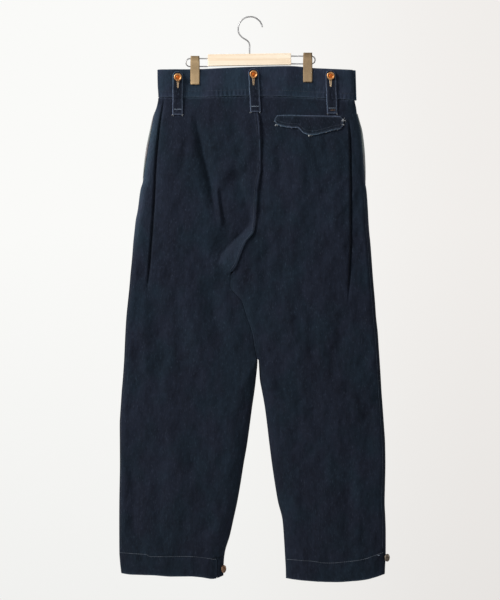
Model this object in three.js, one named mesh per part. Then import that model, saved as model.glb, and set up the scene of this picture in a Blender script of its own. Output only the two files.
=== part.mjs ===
import * as THREE from 'three';

// Denim trousers hung by the waistband from a clip hanger, in millimetres, with +Z up.
// Their back faces -Y and the wearer's right side is +X.
// The origin is the inner crest of the hook, where a rail carries the hanger.

// Walls and gaps
const CLOTH = 1.6;
const BAND_WALL = 3.0;
const HEM_WALL = 2.6;
const TRIM_WALL = 2.2;
const EDGE_WALL = 1.6;
const GAP = 0.3;

// Heights of the main rows
const BAND_TOP = -100;
const BAND_FOOT = -158;
const CROTCH = -512;
const HEM_FOOT = -1115;
const HEM_TURN = 40;
const HEM_TOP = HEM_FOOT + HEM_TURN;

// Hanger and clips
const WIRE = 3;
const GUIDE_WIRE = 2.5;
const HOOK_RADIUS = 24.3;
const BAR_LENGTH = 166;
const BAR_TOP = -72.6;
const BAR_HEIGHT = 23.4;
const BAR_DEPTH = 12;
const BAR_RISE = 2.6;
const CLIP_WIDTH = 18.5;
const CLIP_SHEET = 1.4;
const CLIP_REACH = 34;
const PINCHED = BAND_WALL + 0.35;

// Front opening, loops and buttons
const FRONT_SHARE = 0.9;
const FLY_LENGTH = 172;
const FLY_WIDTH = 38;
const LOOP_WIDTH = 20.5;
const LOOP_LENGTH = 87;
const LOOP_BELLY = 1.6;
const BUTTON_RADIUS = 8.5;
const VENT_WIDTH = 14;

// One row for each level: the two outseams, the line where the back halves meet, then the inner
// edges of the two legs, the middle of the front, the depth of the back, the reach of its round
// edge and how far the two halves are one (1) or two legs (0).
const SECTION_COLUMNS = [
  'z', 'leftOut', 'leftIn', 'rightIn', 'rightOut', 'front', 'depth', 'round', 'joined',
];
const SECTIONS = [
  [-97, -185, 8, 8, 207, 6, 8.8, 14, 1],
  [-130, -184.5, 10, 10, 208, 6, 9.0, 15, 1],
  [-158, -183, 12, 12, 209, 6, 9.4, 18, 1],
  [-174, -185.5, 14.5, 14.5, 211.8, 6, 11.5, 30, 1],
  [-190, -190.3, 17, 17, 213.4, 6, 14, 44, 1],
  [-208, -193.6, 19.5, 19.5, 216.6, 6, 16.5, 58, 1],
  [-225, -196.3, 21.5, 21.5, 220.2, 6, 18.5, 70, 0.97],
  [-262, -203, 23.5, 23.5, 224, 5, 22, 84, 0.92],
  [-300, -209, 23.4, 23.4, 227, 4, 25, 94, 0.84],
  [-325, -213, 19.5, 19.5, 229, 2, 26.5, 96, 0.78],
  [-344, -218.5, 16.8, 16.8, 232.5, 1, 27.5, 96, 0.72],
  [-384, -224, 15, 15, 235.5, -2, 28.5, 98, 0.6],
  [-404, -228, 13.6, 13.6, 236.5, -5, 28.5, 98, 0.52],
  [-426, -230.5, 11, 11, 238, -9, 28.5, 98, 0.42],
  [-450, -233, -6.5, -6.5, 240.4, -14, 28, 98, 0.3],
  [-470, -234.5, -15, -15, 242, -20, 27.5, 98, 0.2],
  [-492, -236.5, -24, -24, 243.6, -27, 27, 98, 0.09],
  [-512, -238.5, -35, -35, 245, -35, 26.5, 98, 0],
  [-536, -240.5, -36, -36, 247, -36, 26, 98, 0],
  [-565, -243.5, -14, -14, 249.5, -14, 25.5, 98, 0],
  [-594, -246.5, -4, -4, 251.5, -4, 25, 98, 0],
  [-630, -248.8, 8, 8, 255.3, 8, 24.5, 98, 0],
  [-656, -250, 12, 12.4, 257, 12, 24, 98, 0],
  [-682, -251.2, 15.8, 16.3, 258.8, 15, 23.5, 98, 0],
  [-720, -253.8, 12.6, 18.8, 261.2, 15, 23, 98, 0],
  [-745, -256, 9.6, 23.3, 262.6, 15, 22.5, 98, 0],
  [-772, -257.8, 5.6, 28.2, 264.6, 16, 22, 98, 0],
  [-811, -260, 0.4, 33.4, 267.4, 16, 22, 98, 0],
  [-850, -259.8, -5, 38, 269.8, 16, 22, 98, 0],
  [-890, -259.6, -12, 43.2, 270.4, 16, 21.5, 98, 0],
  [-929, -260.2, -18.2, 49, 269.6, 16, 21.5, 98, 0],
  [-965, -260.8, -24.6, 55.2, 268.8, 16, 21, 98, 0],
  [-1000, -261, -32, 64, 270.2, 16, 20.5, 98, 0],
  [-1035, -261, -39.5, 67, 271, 16, 20, 98, 0],
  [-1072, -260.8, -49.8, 69.2, 271, 16, 19.5, 98, 0],
  [-1097, -259, -51.6, 70.6, 269.8, 16, 19.3, 98, 0],
  [-1115, -256.8, -52, 71, 269, 16, 19, 98, 0],
];

// Rows left out of the plainer front
const BACK_ONLY_ROWS = [-174, -208, -325, -404, -450, -492, -656, -745, -811, -890, -965, -1072, -1097];

// Reach of the round inner edges of the two halves, smallest where the legs press on each other
const INNER_ROUND = [
  { z: -300, reach: 94 },
  { z: -400, reach: 36 },
  { z: -460, reach: 12 },
  { z: -660, reach: 12 },
  { z: -740, reach: 36 },
  { z: -1115, reach: 44 },
];

// Top and foot of the waistband across its width
const BAND_EDGE = [
  { x: -190, top: -104, foot: -158.5 },
  { x: -100, top: -102.8, foot: -158 },
  { x: 0, top: -98.6, foot: -156 },
  { x: 82, top: -97, foot: -157.5 },
  { x: 130, top: -101, foot: -160 },
  { x: 212, top: -105, foot: -165 },
];

// Lowest edge of each hem across its width
const HEM_EDGE = {
  left: [
    { x: -262, foot: -1106.8 },
    { x: -235, foot: -1109.6 },
    { x: -195, foot: -1110.4 },
    { x: -155, foot: -1113 },
    { x: -120, foot: -1112.6 },
    { x: -96, foot: -1114.6 },
    { x: -74, foot: -1117.8 },
    { x: -51, foot: -1111.5 },
  ],
  right: [
    { x: 70, foot: -1117 },
    { x: 120, foot: -1122 },
    { x: 165, foot: -1124 },
    { x: 224, foot: -1120.5 },
    { x: 271, foot: -1108.5 },
  ],
};

// The largest folds: height is outward, negative for a trough, and the widths are those of its
// slopes towards lower and higher x. The path runs downward in x and z.
const FOLDS = {
  leftBack: [
    { height: -9, wideLow: 9, wideHigh: 15,
      path: [[-166, -160], [-182, -207], [-189, -300], [-197, -434], [-205, -540]] },
    { height: 5, wideLow: 16, wideHigh: 22, path: [[-150, -165], [-158, -230], [-166, -330], [-176, -470]] },
    { height: -6, wideLow: 20, wideHigh: 14,
      path: [[-113, -172], [-100, -234], [-87, -291], [-73, -351], [-62, -410]] },
    { height: -5, wideLow: 24, wideHigh: 9, path: [[4, -392], [-18, -424], [-42, -456], [-62, -492]] },
    { height: -4, wideLow: 20, wideHigh: 8,
      path: [[-62, -490], [-52, -514], [-44, -540], [-24, -572], [-8, -612], [4, -660]] },
    { height: -4, wideLow: 14, wideHigh: 16, path: [[-70, -338], [-33, -322], [-2, -327]] },
    { height: 5, wideLow: 24, wideHigh: 26, path: [[-131, -500], [-106, -624], [-77, -720]] },
    { height: -5, wideLow: 20, wideHigh: 18, path: [[-192, -552], [-184, -640], [-176, -740]] },
    { height: -5, wideLow: 16, wideHigh: 14, path: [[-86, -520], [-72, -590], [-52, -660]] },
    { height: -4, wideLow: 10, wideHigh: 12,
      path: [[-241, -868], [-232, -940], [-230, -1006], [-222, -1066]] },
    { height: 4, wideLow: 26, wideHigh: 26, path: [[-150, -820], [-140, -930], [-146, -1040]] },
  ],
  rightBack: [
    { height: -9, wideLow: 15, wideHigh: 9,
      path: [[190, -162], [198, -224], [200, -300], [201, -400], [197, -520], [188, -580]] },
    { height: 4, wideLow: 20, wideHigh: 14, path: [[170, -240], [176, -330], [178, -450], [172, -540]] },
    { height: -5, wideLow: 20, wideHigh: 20, path: [[190, -570], [176, -660], [160, -740]] },
    { height: 4, wideLow: 26, wideHigh: 26, path: [[96, -260], [92, -360], [84, -470]] },
    { height: -5, wideLow: 14, wideHigh: 18, path: [[38, -728], [72, -748], [112, -766], [150, -806]] },
    { height: -4, wideLow: 18, wideHigh: 14, path: [[232, -750], [234, -820], [232, -910]] },
    { height: 4, wideLow: 26, wideHigh: 24, path: [[150, -900], [160, -980], [158, -1060]] },
    { height: -3, wideLow: 16, wideHigh: 20, path: [[-20, -545], [12, -600], [40, -626]] },
  ],
  leftFront: [
    { height: -5, wideLow: 14, wideHigh: 18, path: [[-150, -200], [-146, -330], [-150, -480]] },
    { height: 5, wideLow: 24, wideHigh: 24, path: [[-110, -300], [-118, -520], [-130, -760]] },
    { height: -4, wideLow: 18, wideHigh: 20, path: [[-60, -470], [-84, -560], [-120, -640]] },
    { height: -4, wideLow: 20, wideHigh: 20, path: [[-186, -760], [-176, -900], [-170, -1030]] },
  ],
  rightFront: [
    { height: -5, wideLow: 18, wideHigh: 14, path: [[160, -200], [160, -330], [164, -480]] },
    { height: 5, wideLow: 24, wideHigh: 24, path: [[118, -300], [124, -520], [142, -760]] },
    { height: -4, wideLow: 20, wideHigh: 18, path: [[40, -500], [72, -590], [110, -660]] },
    { height: -4, wideLow: 20, wideHigh: 20, path: [[196, -780], [186, -900], [180, -1030]] },
  ],
};

// Shares of a half's width at which its columns stand
const BACK_SHARES = [
  0, 0.008, 0.035, 0.08, 0.13, 0.19, 0.26, 0.34, 0.42, 0.5, 0.58, 0.66, 0.74, 0.81, 0.87, 0.92, 0.965, 1,
];
const FRONT_SHARES = [0, 0.008, 0.045, 0.12, 0.22, 0.34, 0.46, 0.58, 0.7, 0.81, 0.9, 0.965, 1];

// Belt loops: middle at the top and at the foot, and the height of the top edge
const BACK_LOOPS = [
  { name: 'back_loop_left', top: -143.5, foot: -144, z: -107.5 },
  { name: 'back_loop_centre', top: 6.5, foot: 11, z: -101.8 },
  { name: 'back_loop_right', top: 160, foot: 163.5, z: -105 },
];
const FRONT_LOOPS = [
  { name: 'front_loop_left', top: -80, foot: -80, z: -106.5 },
  { name: 'front_loop_right', top: 86, foot: 86, z: -101 },
];

// The pointed pocket flap, from its inner to its outer end
const FLAP = [
  { x: 48.6, top: -203.5, foot: -207 },
  { x: 54, top: -195.5, foot: -214.5 },
  { x: 71, top: -194.6, foot: -219.8 },
  { x: 96, top: -195.2, foot: -221.3 },
  { x: 108, top: -195.5, foot: -232.4 },
  { x: 118.2, top: -195.7, foot: -235.8 },
  { x: 135, top: -196, foot: -234 },
  { x: 160, top: -196.5, foot: -227 },
  { x: 180, top: -197, foot: -222.6 },
  { x: 185, top: -204, foot: -215.5 },
];

// Clips: middle, top and foot of the jaws, and heights of the two guide wires with the far end of
// their bend
const CLIPS = [
  { side: 'left', x: -109.5, top: -77, foot: -134, wires: [-82, -97.6], end: -129, start: -84 },
  { side: 'right', x: 115, top: -70.5, foot: -129.2, wires: [-77, -92.4], end: 131, start: 82 },
];

const DENIM = { color: 0x1c2c42, roughness: 0.95, metalness: 0 };
const COPPER = { color: 0xb06a3c, roughness: 0.4, metalness: 0.9 };
const BRASS = { color: 0x9c8158, roughness: 0.45, metalness: 0.9 };
const STEEL = { color: 0x8f8f90, roughness: 0.35, metalness: 1 };
const WOOD = { color: 0xe8cfae, roughness: 0.6, metalness: 0 };

const garment = new THREE.Group();

function add(name, geometry, look) {
  const mesh = new THREE.Mesh(geometry, new THREE.MeshStandardMaterial(look));
  mesh.name = name;
  garment.add(mesh);
  return mesh;
}

const clamp = THREE.MathUtils.clamp;
const mix = THREE.MathUtils.lerp;
const smooth = (t) => THREE.MathUtils.smoothstep(t, 0, 1);

// A curve through table rows that never overshoots them
function curveThrough(rows) {
  const points = [...rows].sort((a, b) => a[0] - b[0]);
  const last = points.length - 1;
  const steps = points.slice(1).map((p, i) => (p[1] - points[i][1]) / (p[0] - points[i][0]));
  const slopes = points.map((_, i) => {
    const before = steps[Math.max(i - 1, 0)];
    const after = steps[Math.min(i, last - 1)];
    return before * after <= 0 ? 0 : (2 * before * after) / (before + after);
  });
  return (at) => {
    const x = clamp(at, points[0][0], points[last][0]);
    let i = 0;
    while (i < last - 1 && x > points[i + 1][0]) i += 1;
    const span = points[i + 1][0] - points[i][0];
    const t = (x - points[i][0]) / span;
    const start = points[i][1] * (1 + 2 * t) * (1 - t) ** 2 + slopes[i] * span * t * (1 - t) ** 2;
    const end = points[i + 1][1] * t * t * (3 - 2 * t) + slopes[i + 1] * span * t * t * (t - 1);
    return start + end;
  };
}

const section = {};
SECTION_COLUMNS.slice(1).forEach((name, i) => {
  section[name] = curveThrough(SECTIONS.map((row) => [row[0], row[i + 1]]));
});
const innerRound = curveThrough(INNER_ROUND.map((row) => [row.z, row.reach]));
const bandTop = curveThrough(BAND_EDGE.map((row) => [row.x, row.top]));
const bandFoot = curveThrough(BAND_EDGE.map((row) => [row.x, row.foot]));
const hemFoot = {
  left: curveThrough(HEM_EDGE.left.map((row) => [row.x, row.foot])),
  right: curveThrough(HEM_EDGE.right.map((row) => [row.x, row.foot])),
};

// Quarter of an ellipse: upright at 0 and level at 1
const roundEdge = (t) => Math.sqrt(1 - (1 - clamp(t, 0, 1)) ** 2);
const softEdge = (t) => 1 - (1 - clamp(t, 0, 1)) ** 2;

// Nearest place on a fold's path: its distance, the side it lies on and its share of the length
function nearestOnPath(path, x, z) {
  let best = { distance: Infinity, side: 1, share: 0 };
  for (let i = 0; i < path.length - 1; i += 1) {
    const [ax, az] = path[i];
    const dx = path[i + 1][0] - ax;
    const dz = path[i + 1][1] - az;
    const t = clamp(((x - ax) * dx + (z - az) * dz) / (dx * dx + dz * dz), 0, 1);
    const distance = Math.hypot(x - ax - t * dx, z - az - t * dz);
    if (distance < best.distance) {
      const side = (x - ax) * -dz + (z - az) * dx;
      best = { distance, side, share: (i + t) / (path.length - 1) };
    }
  }
  return best;
}

function foldHeight(folds, x, z) {
  let sum = 0;
  for (const fold of folds) {
    const near = nearestOnPath(fold.path, x, z);
    const wide = near.side > 0 ? fold.wideHigh : fold.wideLow;
    const ends = smooth(near.share / 0.2) * smooth((1 - near.share) / 0.25);
    sum += fold.height * ends * Math.exp(-((near.distance / wide) ** 2));
  }
  return sum;
}

// How hard the nearest clip presses the band's two faces together at a place
function grip(x, z) {
  const away = Math.min(...CLIPS.map((clip) => Math.abs(x - clip.x)));
  return (1 - smooth((away - CLIP_WIDTH * 0.65) / CLIP_REACH)) * smooth((z + 190) / 52);
}

function innerLine(half, face, z) {
  if (face > 0 && z > CROTCH) return section.front(z);
  return half === 'left' ? section.leftIn(z) : section.rightIn(z);
}

// Distance of a panel's outer face from the middle plane, at a share of the half's width
function panelDepth(half, face, share, z) {
  const out = section[`${half}Out`](z);
  const inner = innerLine(half, face, z);
  const x = mix(out, inner, share);
  const wide = Math.abs(inner - out);
  const reach = Math.min(section.round(z), wide / 2);
  const innerReach = Math.min(reach, innerRound(z));
  const joined = section.joined(z);
  const fromOut = share * wide;
  const fromInner = (1 - share) * wide;
  const valley = mix(roundEdge(fromInner / innerReach), softEdge(fromInner / innerReach), joined);
  const deep = section.depth(z) * (face < 0 ? 1 : mix(FRONT_SHARE, 1, grip(x, z)));
  const folds = FOLDS[half + (face < 0 ? 'Back' : 'Front')];
  const free = smooth(fromOut / 14) * mix(smooth(fromInner / 14), 1, joined) * clamp(deep / 22, 0, 1);
  const base = deep * roundEdge(fromOut / reach) * mix(valley, 1, joined);
  const loose = base + foldHeight(folds, x, z) * free;
  const pressed = PINCHED * roundEdge(fromOut / 12);
  const least = (CLOTH + 0.7) * roundEdge(fromOut / 6) * mix(roundEdge(fromInner / 6), 1, joined);
  return Math.max(mix(loose, pressed, grip(x, z)) - 0.7, least);
}

// Real height of a place whose level in the section table is z: the top follows the waistband
// and the foot follows the hem
function realHeight(half, x, z) {
  const nearTop = 1 - smooth((BAND_FOOT - z) / 60);
  const nearHem = smooth((-960 - z) / 100);
  return z + (bandFoot(x) - GAP - BAND_FOOT) * nearTop + (hemFoot[half](x) - HEM_FOOT) * nearHem;
}

// A closed wall between two grids of points, with the outer one facing out
function wallBetween(outer, inner) {
  const rows = outer.length;
  const columns = outer[0].length;
  const positions = [...outer.flat(), ...inner.flat()].flatMap((p) => [p.x, p.y, p.z]);
  const index = [];
  const quad = (a, b, c, d) => index.push(a, b, c, a, c, d);
  const at = (r, c) => r * columns + c;
  const under = rows * columns;
  for (let r = 0; r < rows - 1; r += 1) {
    for (let c = 0; c < columns - 1; c += 1) {
      const corners = [at(r, c), at(r, c + 1), at(r + 1, c + 1), at(r + 1, c)];
      quad(...corners);
      quad(...corners.map((v) => v + under).reverse());
    }
  }
  const rim = [];
  for (let c = 0; c < columns - 1; c += 1) rim.push(at(0, c));
  for (let r = 0; r < rows - 1; r += 1) rim.push(at(r, columns - 1));
  for (let c = columns - 1; c > 0; c -= 1) rim.push(at(rows - 1, c));
  for (let r = rows - 1; r > 0; r -= 1) rim.push(at(r, 0));
  rim.forEach((v, i) => {
    const next = rim[(i + 1) % rim.length];
    quad(next, v, v + under, next + under);
  });
  return facingOut(positions, index);
}

// A geometry whose triangles all face out: the order is turned round where the volume is negative
function facingOut(positions, index) {
  const corner = (i) => new THREE.Vector3().fromArray(positions, index[i] * 3);
  let volume = 0;
  for (let i = 0; i < index.length; i += 3) {
    volume += corner(i).dot(corner(i + 1).cross(corner(i + 2)));
  }
  const geometry = new THREE.BufferGeometry();
  geometry.setAttribute('position', new THREE.Float32BufferAttribute(positions, 3));
  geometry.setIndex(volume < 0 ? [...index].reverse() : index);
  geometry.computeVertexNormals();
  return geometry;
}

// Inner points of a wall: each outer point moved in along the surface's normal, level at both ends
function movedIn(outer, wall, face) {
  return outer.map((row, r) => row.map((p, c) => {
    const across = row[Math.min(c + 1, row.length - 1)].clone().sub(row[Math.max(c - 1, 0)]);
    const down = outer[Math.min(r + 1, outer.length - 1)][c].clone().sub(outer[Math.max(r - 1, 0)][c]);
    const normal = across.cross(down).normalize();
    if (normal.y * face > 0) normal.negate();
    if (r === 0 || r === outer.length - 1) normal.setZ(0).normalize();
    return p.clone().addScaledVector(normal, wall);
  }));
}

// One panel: outer points from the section table, inner points a wall's thickness behind them
function panelWall(half, face, shares, levels, shareRange) {
  const toward = half === 'left' ? 1 : -1;
  const outer = levels.map((z) => {
    const [from, to] = shareRange(z);
    const edge = section[`${half}Out`](z);
    const inner = innerLine(half, face, z) - toward * (GAP / 2);
    return shares.map((value) => {
      const share = mix(from, to, value);
      const x = mix(edge, inner, share);
      const y = face * (GAP / 2 + panelDepth(half, face, share, z));
      return new THREE.Vector3(x, y, realHeight(half, x, z));
    });
  });
  const wall = levels[0] < HEM_TOP ? HEM_WALL : CLOTH;
  const inner = movedIn(outer, wall, face);
  levels.forEach((z, r) => {
    const [from, to] = shareRange(z);
    const row = outer[r];
    if (from === 0) {
      inner[r][0] = row[0].clone().add(new THREE.Vector3(toward * wall, 0, 0));
    }
    if (to === 1) {
      const end = row[row.length - 1];
      const room = Math.abs(end.y) - GAP / 2;
      const need = wall * 1.4;
      const upright = clamp(room / need, 0, 1);
      const aside = -toward * wall * Math.sqrt(1 - upright ** 2);
      const behind = -face * Math.min(room, need);
      inner[r][row.length - 1] = end.clone().add(new THREE.Vector3(aside, behind, 0));
    }
  });
  return { outer, geometry: wallBetween(outer, inner) };
}

// Outer face of the waistband, at a place across and a share of its height
function bandPoint(face, x, share, lift) {
  const z = mix(BAND_TOP, BAND_FOOT, share);
  const left = section.leftOut(z);
  const right = section.rightOut(z) + (face > 0 ? 4 : 0);
  const reach = section.round(z);
  const edges = roundEdge((x - left) / reach) * roundEdge((right - x) / reach);
  const pressed = PINCHED * roundEdge((x - left) / 12) * roundEdge((right - x) / 12);
  const depth = mix(section.depth(z) * edges, pressed, grip(x, z));
  return new THREE.Vector3(x, face * (GAP / 2 + depth + lift), mix(bandTop(x), bandFoot(x), share));
}

// One length of the waistband between two places across; an end at a side seam closes there
function bandWall(face, from, to, columns, liftAt) {
  const shares = [0, 0.22, 0.6, 1];
  const outer = shares.map((share) => {
    const z = mix(BAND_TOP, BAND_FOOT, share);
    const left = from ?? section.leftOut(z);
    const right = to ?? section.rightOut(z) + (face > 0 ? 4 : 0);
    const row = [];
    for (let i = 0; i <= columns; i += 1) {
      const even = i / columns;
      const ends = (1 - Math.cos(Math.PI * even)) / 2;
      const x = mix(left, right, mix(even, ends, 0.35));
      row.push(bandPoint(face, x, share, liftAt(x)));
    }
    return row;
  });
  const inner = movedIn(outer, BAND_WALL, face);
  outer.forEach((row, r) => {
    const last = row.length - 1;
    if (from === null) inner[r][0] = row[0].clone().add(new THREE.Vector3(BAND_WALL, 0, 0));
    if (to === null) inner[r][last] = row[last].clone().sub(new THREE.Vector3(BAND_WALL, 0, 0));
  });
  return { outer, geometry: wallBetween(outer, inner) };
}

// Level of a grid's outer face at a place in x and z, or 0 where it has none
function levelOf(grid, x, z) {
  for (let r = 0; r < grid.length - 1; r += 1) {
    for (let c = 0; c < grid[r].length - 1; c += 1) {
      const cell = [grid[r][c], grid[r][c + 1], grid[r + 1][c + 1], grid[r + 1][c]];
      for (const [a, b, d] of [[cell[0], cell[1], cell[2]], [cell[0], cell[2], cell[3]]]) {
        const turn = (b.x - a.x) * (d.z - a.z) - (d.x - a.x) * (b.z - a.z);
        const u = ((x - a.x) * (d.z - a.z) - (d.x - a.x) * (z - a.z)) / turn;
        const v = ((b.x - a.x) * (z - a.z) - (x - a.x) * (b.z - a.z)) / turn;
        if (u >= -1e-6 && v >= -1e-6 && u + v <= 1 + 1e-6) {
          return Math.abs(a.y + u * (b.y - a.y) + v * (d.y - a.y));
        }
      }
    }
  }
  return 0;
}

// Highest of nine places round x and z
function highestNear(grids, x, z, across, down) {
  let level = 0;
  for (const i of [-1, 0, 1]) {
    for (const j of [-1, 0, 1]) {
      const at = [x + across[0] * i + down[0] * j, z + across[1] * i + down[1] * j];
      for (const grid of grids) level = Math.max(level, levelOf(grid, ...at));
    }
  }
  return level;
}

// A piece that lies on others: each of its points stands clear of the highest place near it
function laidOn(grids, face, places, wall, lift) {
  const step = (a, b) => [(b[0] - a[0]) / 4, (b[1] - a[1]) / 4];
  const outer = [];
  const under = [];
  places.forEach((row, r) => {
    outer.push([]);
    under.push([]);
    row.forEach((place, c) => {
      const across = step(row[Math.max(c - 1, 0)], row[Math.min(c + 1, row.length - 1)]);
      const down = step(places[Math.max(r - 1, 0)][c], places[Math.min(r + 1, places.length - 1)][c]);
      const base = highestNear(grids, ...place, across, down) + GAP + lift(r, c);
      under[r].push(new THREE.Vector3(place[0], face * base, place[1]));
      outer[r].push(new THREE.Vector3(place[0], face * (base + wall), place[1]));
    });
  });
  return { outer, geometry: wallBetween(outer, under) };
}

// Front and back panels, each in three lengths: the seat, the leg and the turned-up hem
const LENGTHS = [
  { part: 'seat', top: BAND_FOOT, foot: CROTCH },
  { part: 'leg', top: CROTCH - GAP, foot: HEM_TOP },
  { part: 'hem', top: HEM_TOP - GAP, foot: HEM_FOOT },
];
const tableLevels = SECTIONS.map((row) => row[0]);
const frontLevels = tableLevels.filter((z) => !BACK_ONLY_ROWS.includes(z));
const ventShare = 1 - VENT_WIDTH / (section.leftIn(HEM_FOOT) - section.leftOut(HEM_FOOT));

function addPanel(name, half, face, shares, rows) {
  return LENGTHS.map(({ part, top, foot }) => {
    const levels = [top, ...rows.filter((z) => z < top - 1 && z > foot + 1), foot];
    const vented = name === 'back_left' && part === 'hem';
    const panel = panelWall(half, face, shares, levels, () => [0, vented ? ventShare : 1]);
    add(`${name}_${part}`, panel.geometry, DENIM);
    return panel.outer;
  });
}

const panels = {
  back_left: addPanel('back_left', 'left', -1, BACK_SHARES, tableLevels),
  back_right: addPanel('back_right', 'right', -1, BACK_SHARES, tableLevels),
  front_left: addPanel('front_left', 'left', 1, FRONT_SHARES, frontLevels),
  front_right: addPanel('front_right', 'right', 1, FRONT_SHARES, frontLevels),
};

// The strip beside the left hem's vent
const ventLevels = [HEM_TOP - 2 * GAP, HEM_FOOT + HEM_TURN / 2, HEM_FOOT];
const ventStart = ventShare + 0.006;
const vent = panelWall('left', -1, [0, 0.35, 0.7, 0.9, 1], ventLevels, () => [ventStart, 1]);
add('hem_vent_strip_left', vent.geometry, DENIM);

// Waistband: one length behind, and two that overlap at the front
const OVERLAP_START = -34;
const OVERLAP_END = 28;
const overlapLift = (x) => (BAND_WALL + GAP) * smooth((x - OVERLAP_START) / 16);
const band = {
  back: bandWall(-1, null, null, 40, () => 0),
  frontLeft: bandWall(1, null, OVERLAP_END, 22, overlapLift),
  frontRight: bandWall(1, OVERLAP_START + 18, null, 22, () => 0),
};
add('waistband_back', band.back.geometry, DENIM);
add('waistband_front_left', band.frontLeft.geometry, DENIM);
add('waistband_front_right', band.frontRight.geometry, DENIM);

// Belt loops: straight strips with a round head, each with its button
const LOOP_STEM = 1.2;
const HEM_STEM = 3.6;
const HEAD = LOOP_WIDTH / 2;
const loopRows = [0.4, 2.5, 6, HEAD, 26, 44, 54, 60, 74, LOOP_LENGTH];

function loopPlaces(loop) {
  return loopRows.map((down) => {
    const middle = mix(loop.top, loop.foot, down / LOOP_LENGTH);
    const half = down < HEAD ? Math.sqrt(HEAD ** 2 - (HEAD - down) ** 2) : HEAD;
    return [-1, -0.33, 0.33, 1].map((side) => [middle + side * half, loop.z - down]);
  });
}

const SHANK_RADIUS = 2.6;
const BUTTON_RIM = [
  [7.6, 0], [BUTTON_RADIUS, 1], [BUTTON_RADIUS, 2], [7.2, 2.8], [5.4, 2.4], [4.4, 1.8], [0, 1.8],
];

// A shank button: a stem of the given height and a cap with a raised rim
function addButton(name, place, outward, stem) {
  const profile = [[0, 0], [SHANK_RADIUS, 0], [SHANK_RADIUS, stem]];
  for (const [radius, height] of BUTTON_RIM) profile.push([radius, height + stem]);
  const geometry = new THREE.LatheGeometry(profile.map((p) => new THREE.Vector2(...p)), 12);
  const button = add(name, geometry, COPPER);
  button.position.copy(place);
  button.quaternion.setFromUnitVectors(new THREE.Vector3(0, 1, 0), outward);
}

function addLoop(loop, face, grids) {
  const belly = (r) => LOOP_BELLY * Math.sin((Math.PI * loopRows[r]) / LOOP_LENGTH);
  const strip = laidOn(grids, face, loopPlaces(loop), TRIM_WALL, belly);
  add(loop.name, strip.geometry, DENIM);
  const x = mix(loop.top, loop.foot, (HEAD + 2) / LOOP_LENGTH);
  const z = loop.z - HEAD - 2;
  const level = highestNear([strip.outer], x, z, [SHANK_RADIUS, 0], [0, SHANK_RADIUS]);
  const place = new THREE.Vector3(x, face * (level + GAP), z);
  addButton(`${loop.name}_button`, place, new THREE.Vector3(0, face, 0), LOOP_STEM);
}

const backGrids = [band.back.outer, ...panels.back_left, ...panels.back_right];
const frontPanels = [...panels.front_left, ...panels.front_right];
const frontGrids = [band.frontLeft.outer, band.frontRight.outer, ...frontPanels];
for (const loop of BACK_LOOPS) addLoop(loop, -1, backGrids);
for (const loop of FRONT_LOOPS) addLoop(loop, 1, frontGrids);

// Waist button at the overlap
const waistX = OVERLAP_END - 14;
const waistZ = mix(bandTop(waistX), bandFoot(waistX), 0.48);
const waistLevel = highestNear([band.frontLeft.outer], waistX, waistZ, [SHANK_RADIUS, 0], [0, SHANK_RADIUS]);
const waistPlace = new THREE.Vector3(waistX, waistLevel + GAP, waistZ);
addButton('waist_button', waistPlace, new THREE.Vector3(0, 1, 0), LOOP_STEM);

// Fly placket, which covers the middle line of the front
const FLY_DROPS = [0, 24, 52, 82, 112, 138, 158, FLY_LENGTH];
const flyPlaces = FLY_DROPS.map((drop) => {
  const z = bandFoot(section.front(BAND_FOOT)) - 1 - drop;
  const curved = FLY_WIDTH * Math.sqrt(1 - smooth((drop - 112) / 62) * 0.8);
  const inner = section.front(z) + 5;
  return [0, 0.25, 0.5, 0.75, 1].map((share) => [mix(inner - curved, inner, share), z]);
});
const fly = laidOn(frontPanels, 1, flyPlaces, TRIM_WALL, () => 0);
add('fly_placket', fly.geometry, DENIM);

// Pocket flap
const flapRow = (share) => FLAP.map((row) => [row.x, mix(row.top, row.foot, share)]);
const flapPlaces = [0, 0.35, 0.7, 1].map(flapRow);
const flap = laidOn(panels.back_right, -1, flapPlaces, TRIM_WALL, (r) => r * 0.3);
add('pocket_flap', flap.geometry, DENIM);

// Edges of the side pockets, which stand out beyond the outseams
function pocketEdge(half, top, foot) {
  const toward = half === 'left' ? 1 : -1;
  const rows = 8;
  const aside = [-4.4, -1, 2, 5, 9];
  const outer = [];
  const under = [];
  for (let r = 0; r <= rows; r += 1) {
    const z = mix(top, foot, r / rows);
    const seam = section[`${half}Out`](z);
    const ends = 0.12 + 0.88 * Math.sin(Math.PI * clamp(r / rows, 0.02, 0.98)) ** 0.7;
    const row = aside.map((d) => {
      const x = seam + toward * (d < 0 ? d * ends : d);
      const near = [x, x + toward * 1.5].map((at) => levelOf(panels[`front_${half}`][0], at, z));
      return new THREE.Vector3(x, GAP + 0.4 + Math.max(...near), z);
    });
    under.push(row);
    outer.push(row.map((p) => p.clone().add(new THREE.Vector3(0, EDGE_WALL, 0))));
  }
  return wallBetween(outer, under);
}
add('side_pocket_edge_left', pocketEdge('left', -188, -327), DENIM);
add('side_pocket_edge_right', pocketEdge('right', -192, -332), DENIM);

// Hem buttons, turned towards +X: the left one on the vent's strip, the right one on the outer edge
function hemButton(name, grid, x, z, turned, lift) {
  const angle = THREE.MathUtils.degToRad(turned);
  const outward = new THREE.Vector3(Math.sin(angle), -Math.cos(angle), 0);
  const place = new THREE.Vector3(x, -levelOf(grid, x, z), z).addScaledVector(outward, lift);
  addButton(name, place, outward, HEM_STEM);
}
hemButton('hem_button_left', vent.outer, -57.5, -1098, 58, 1.5);
hemButton('hem_button_right', panels.back_right[2], 268.8, -1076, 52, 0.6);

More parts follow.
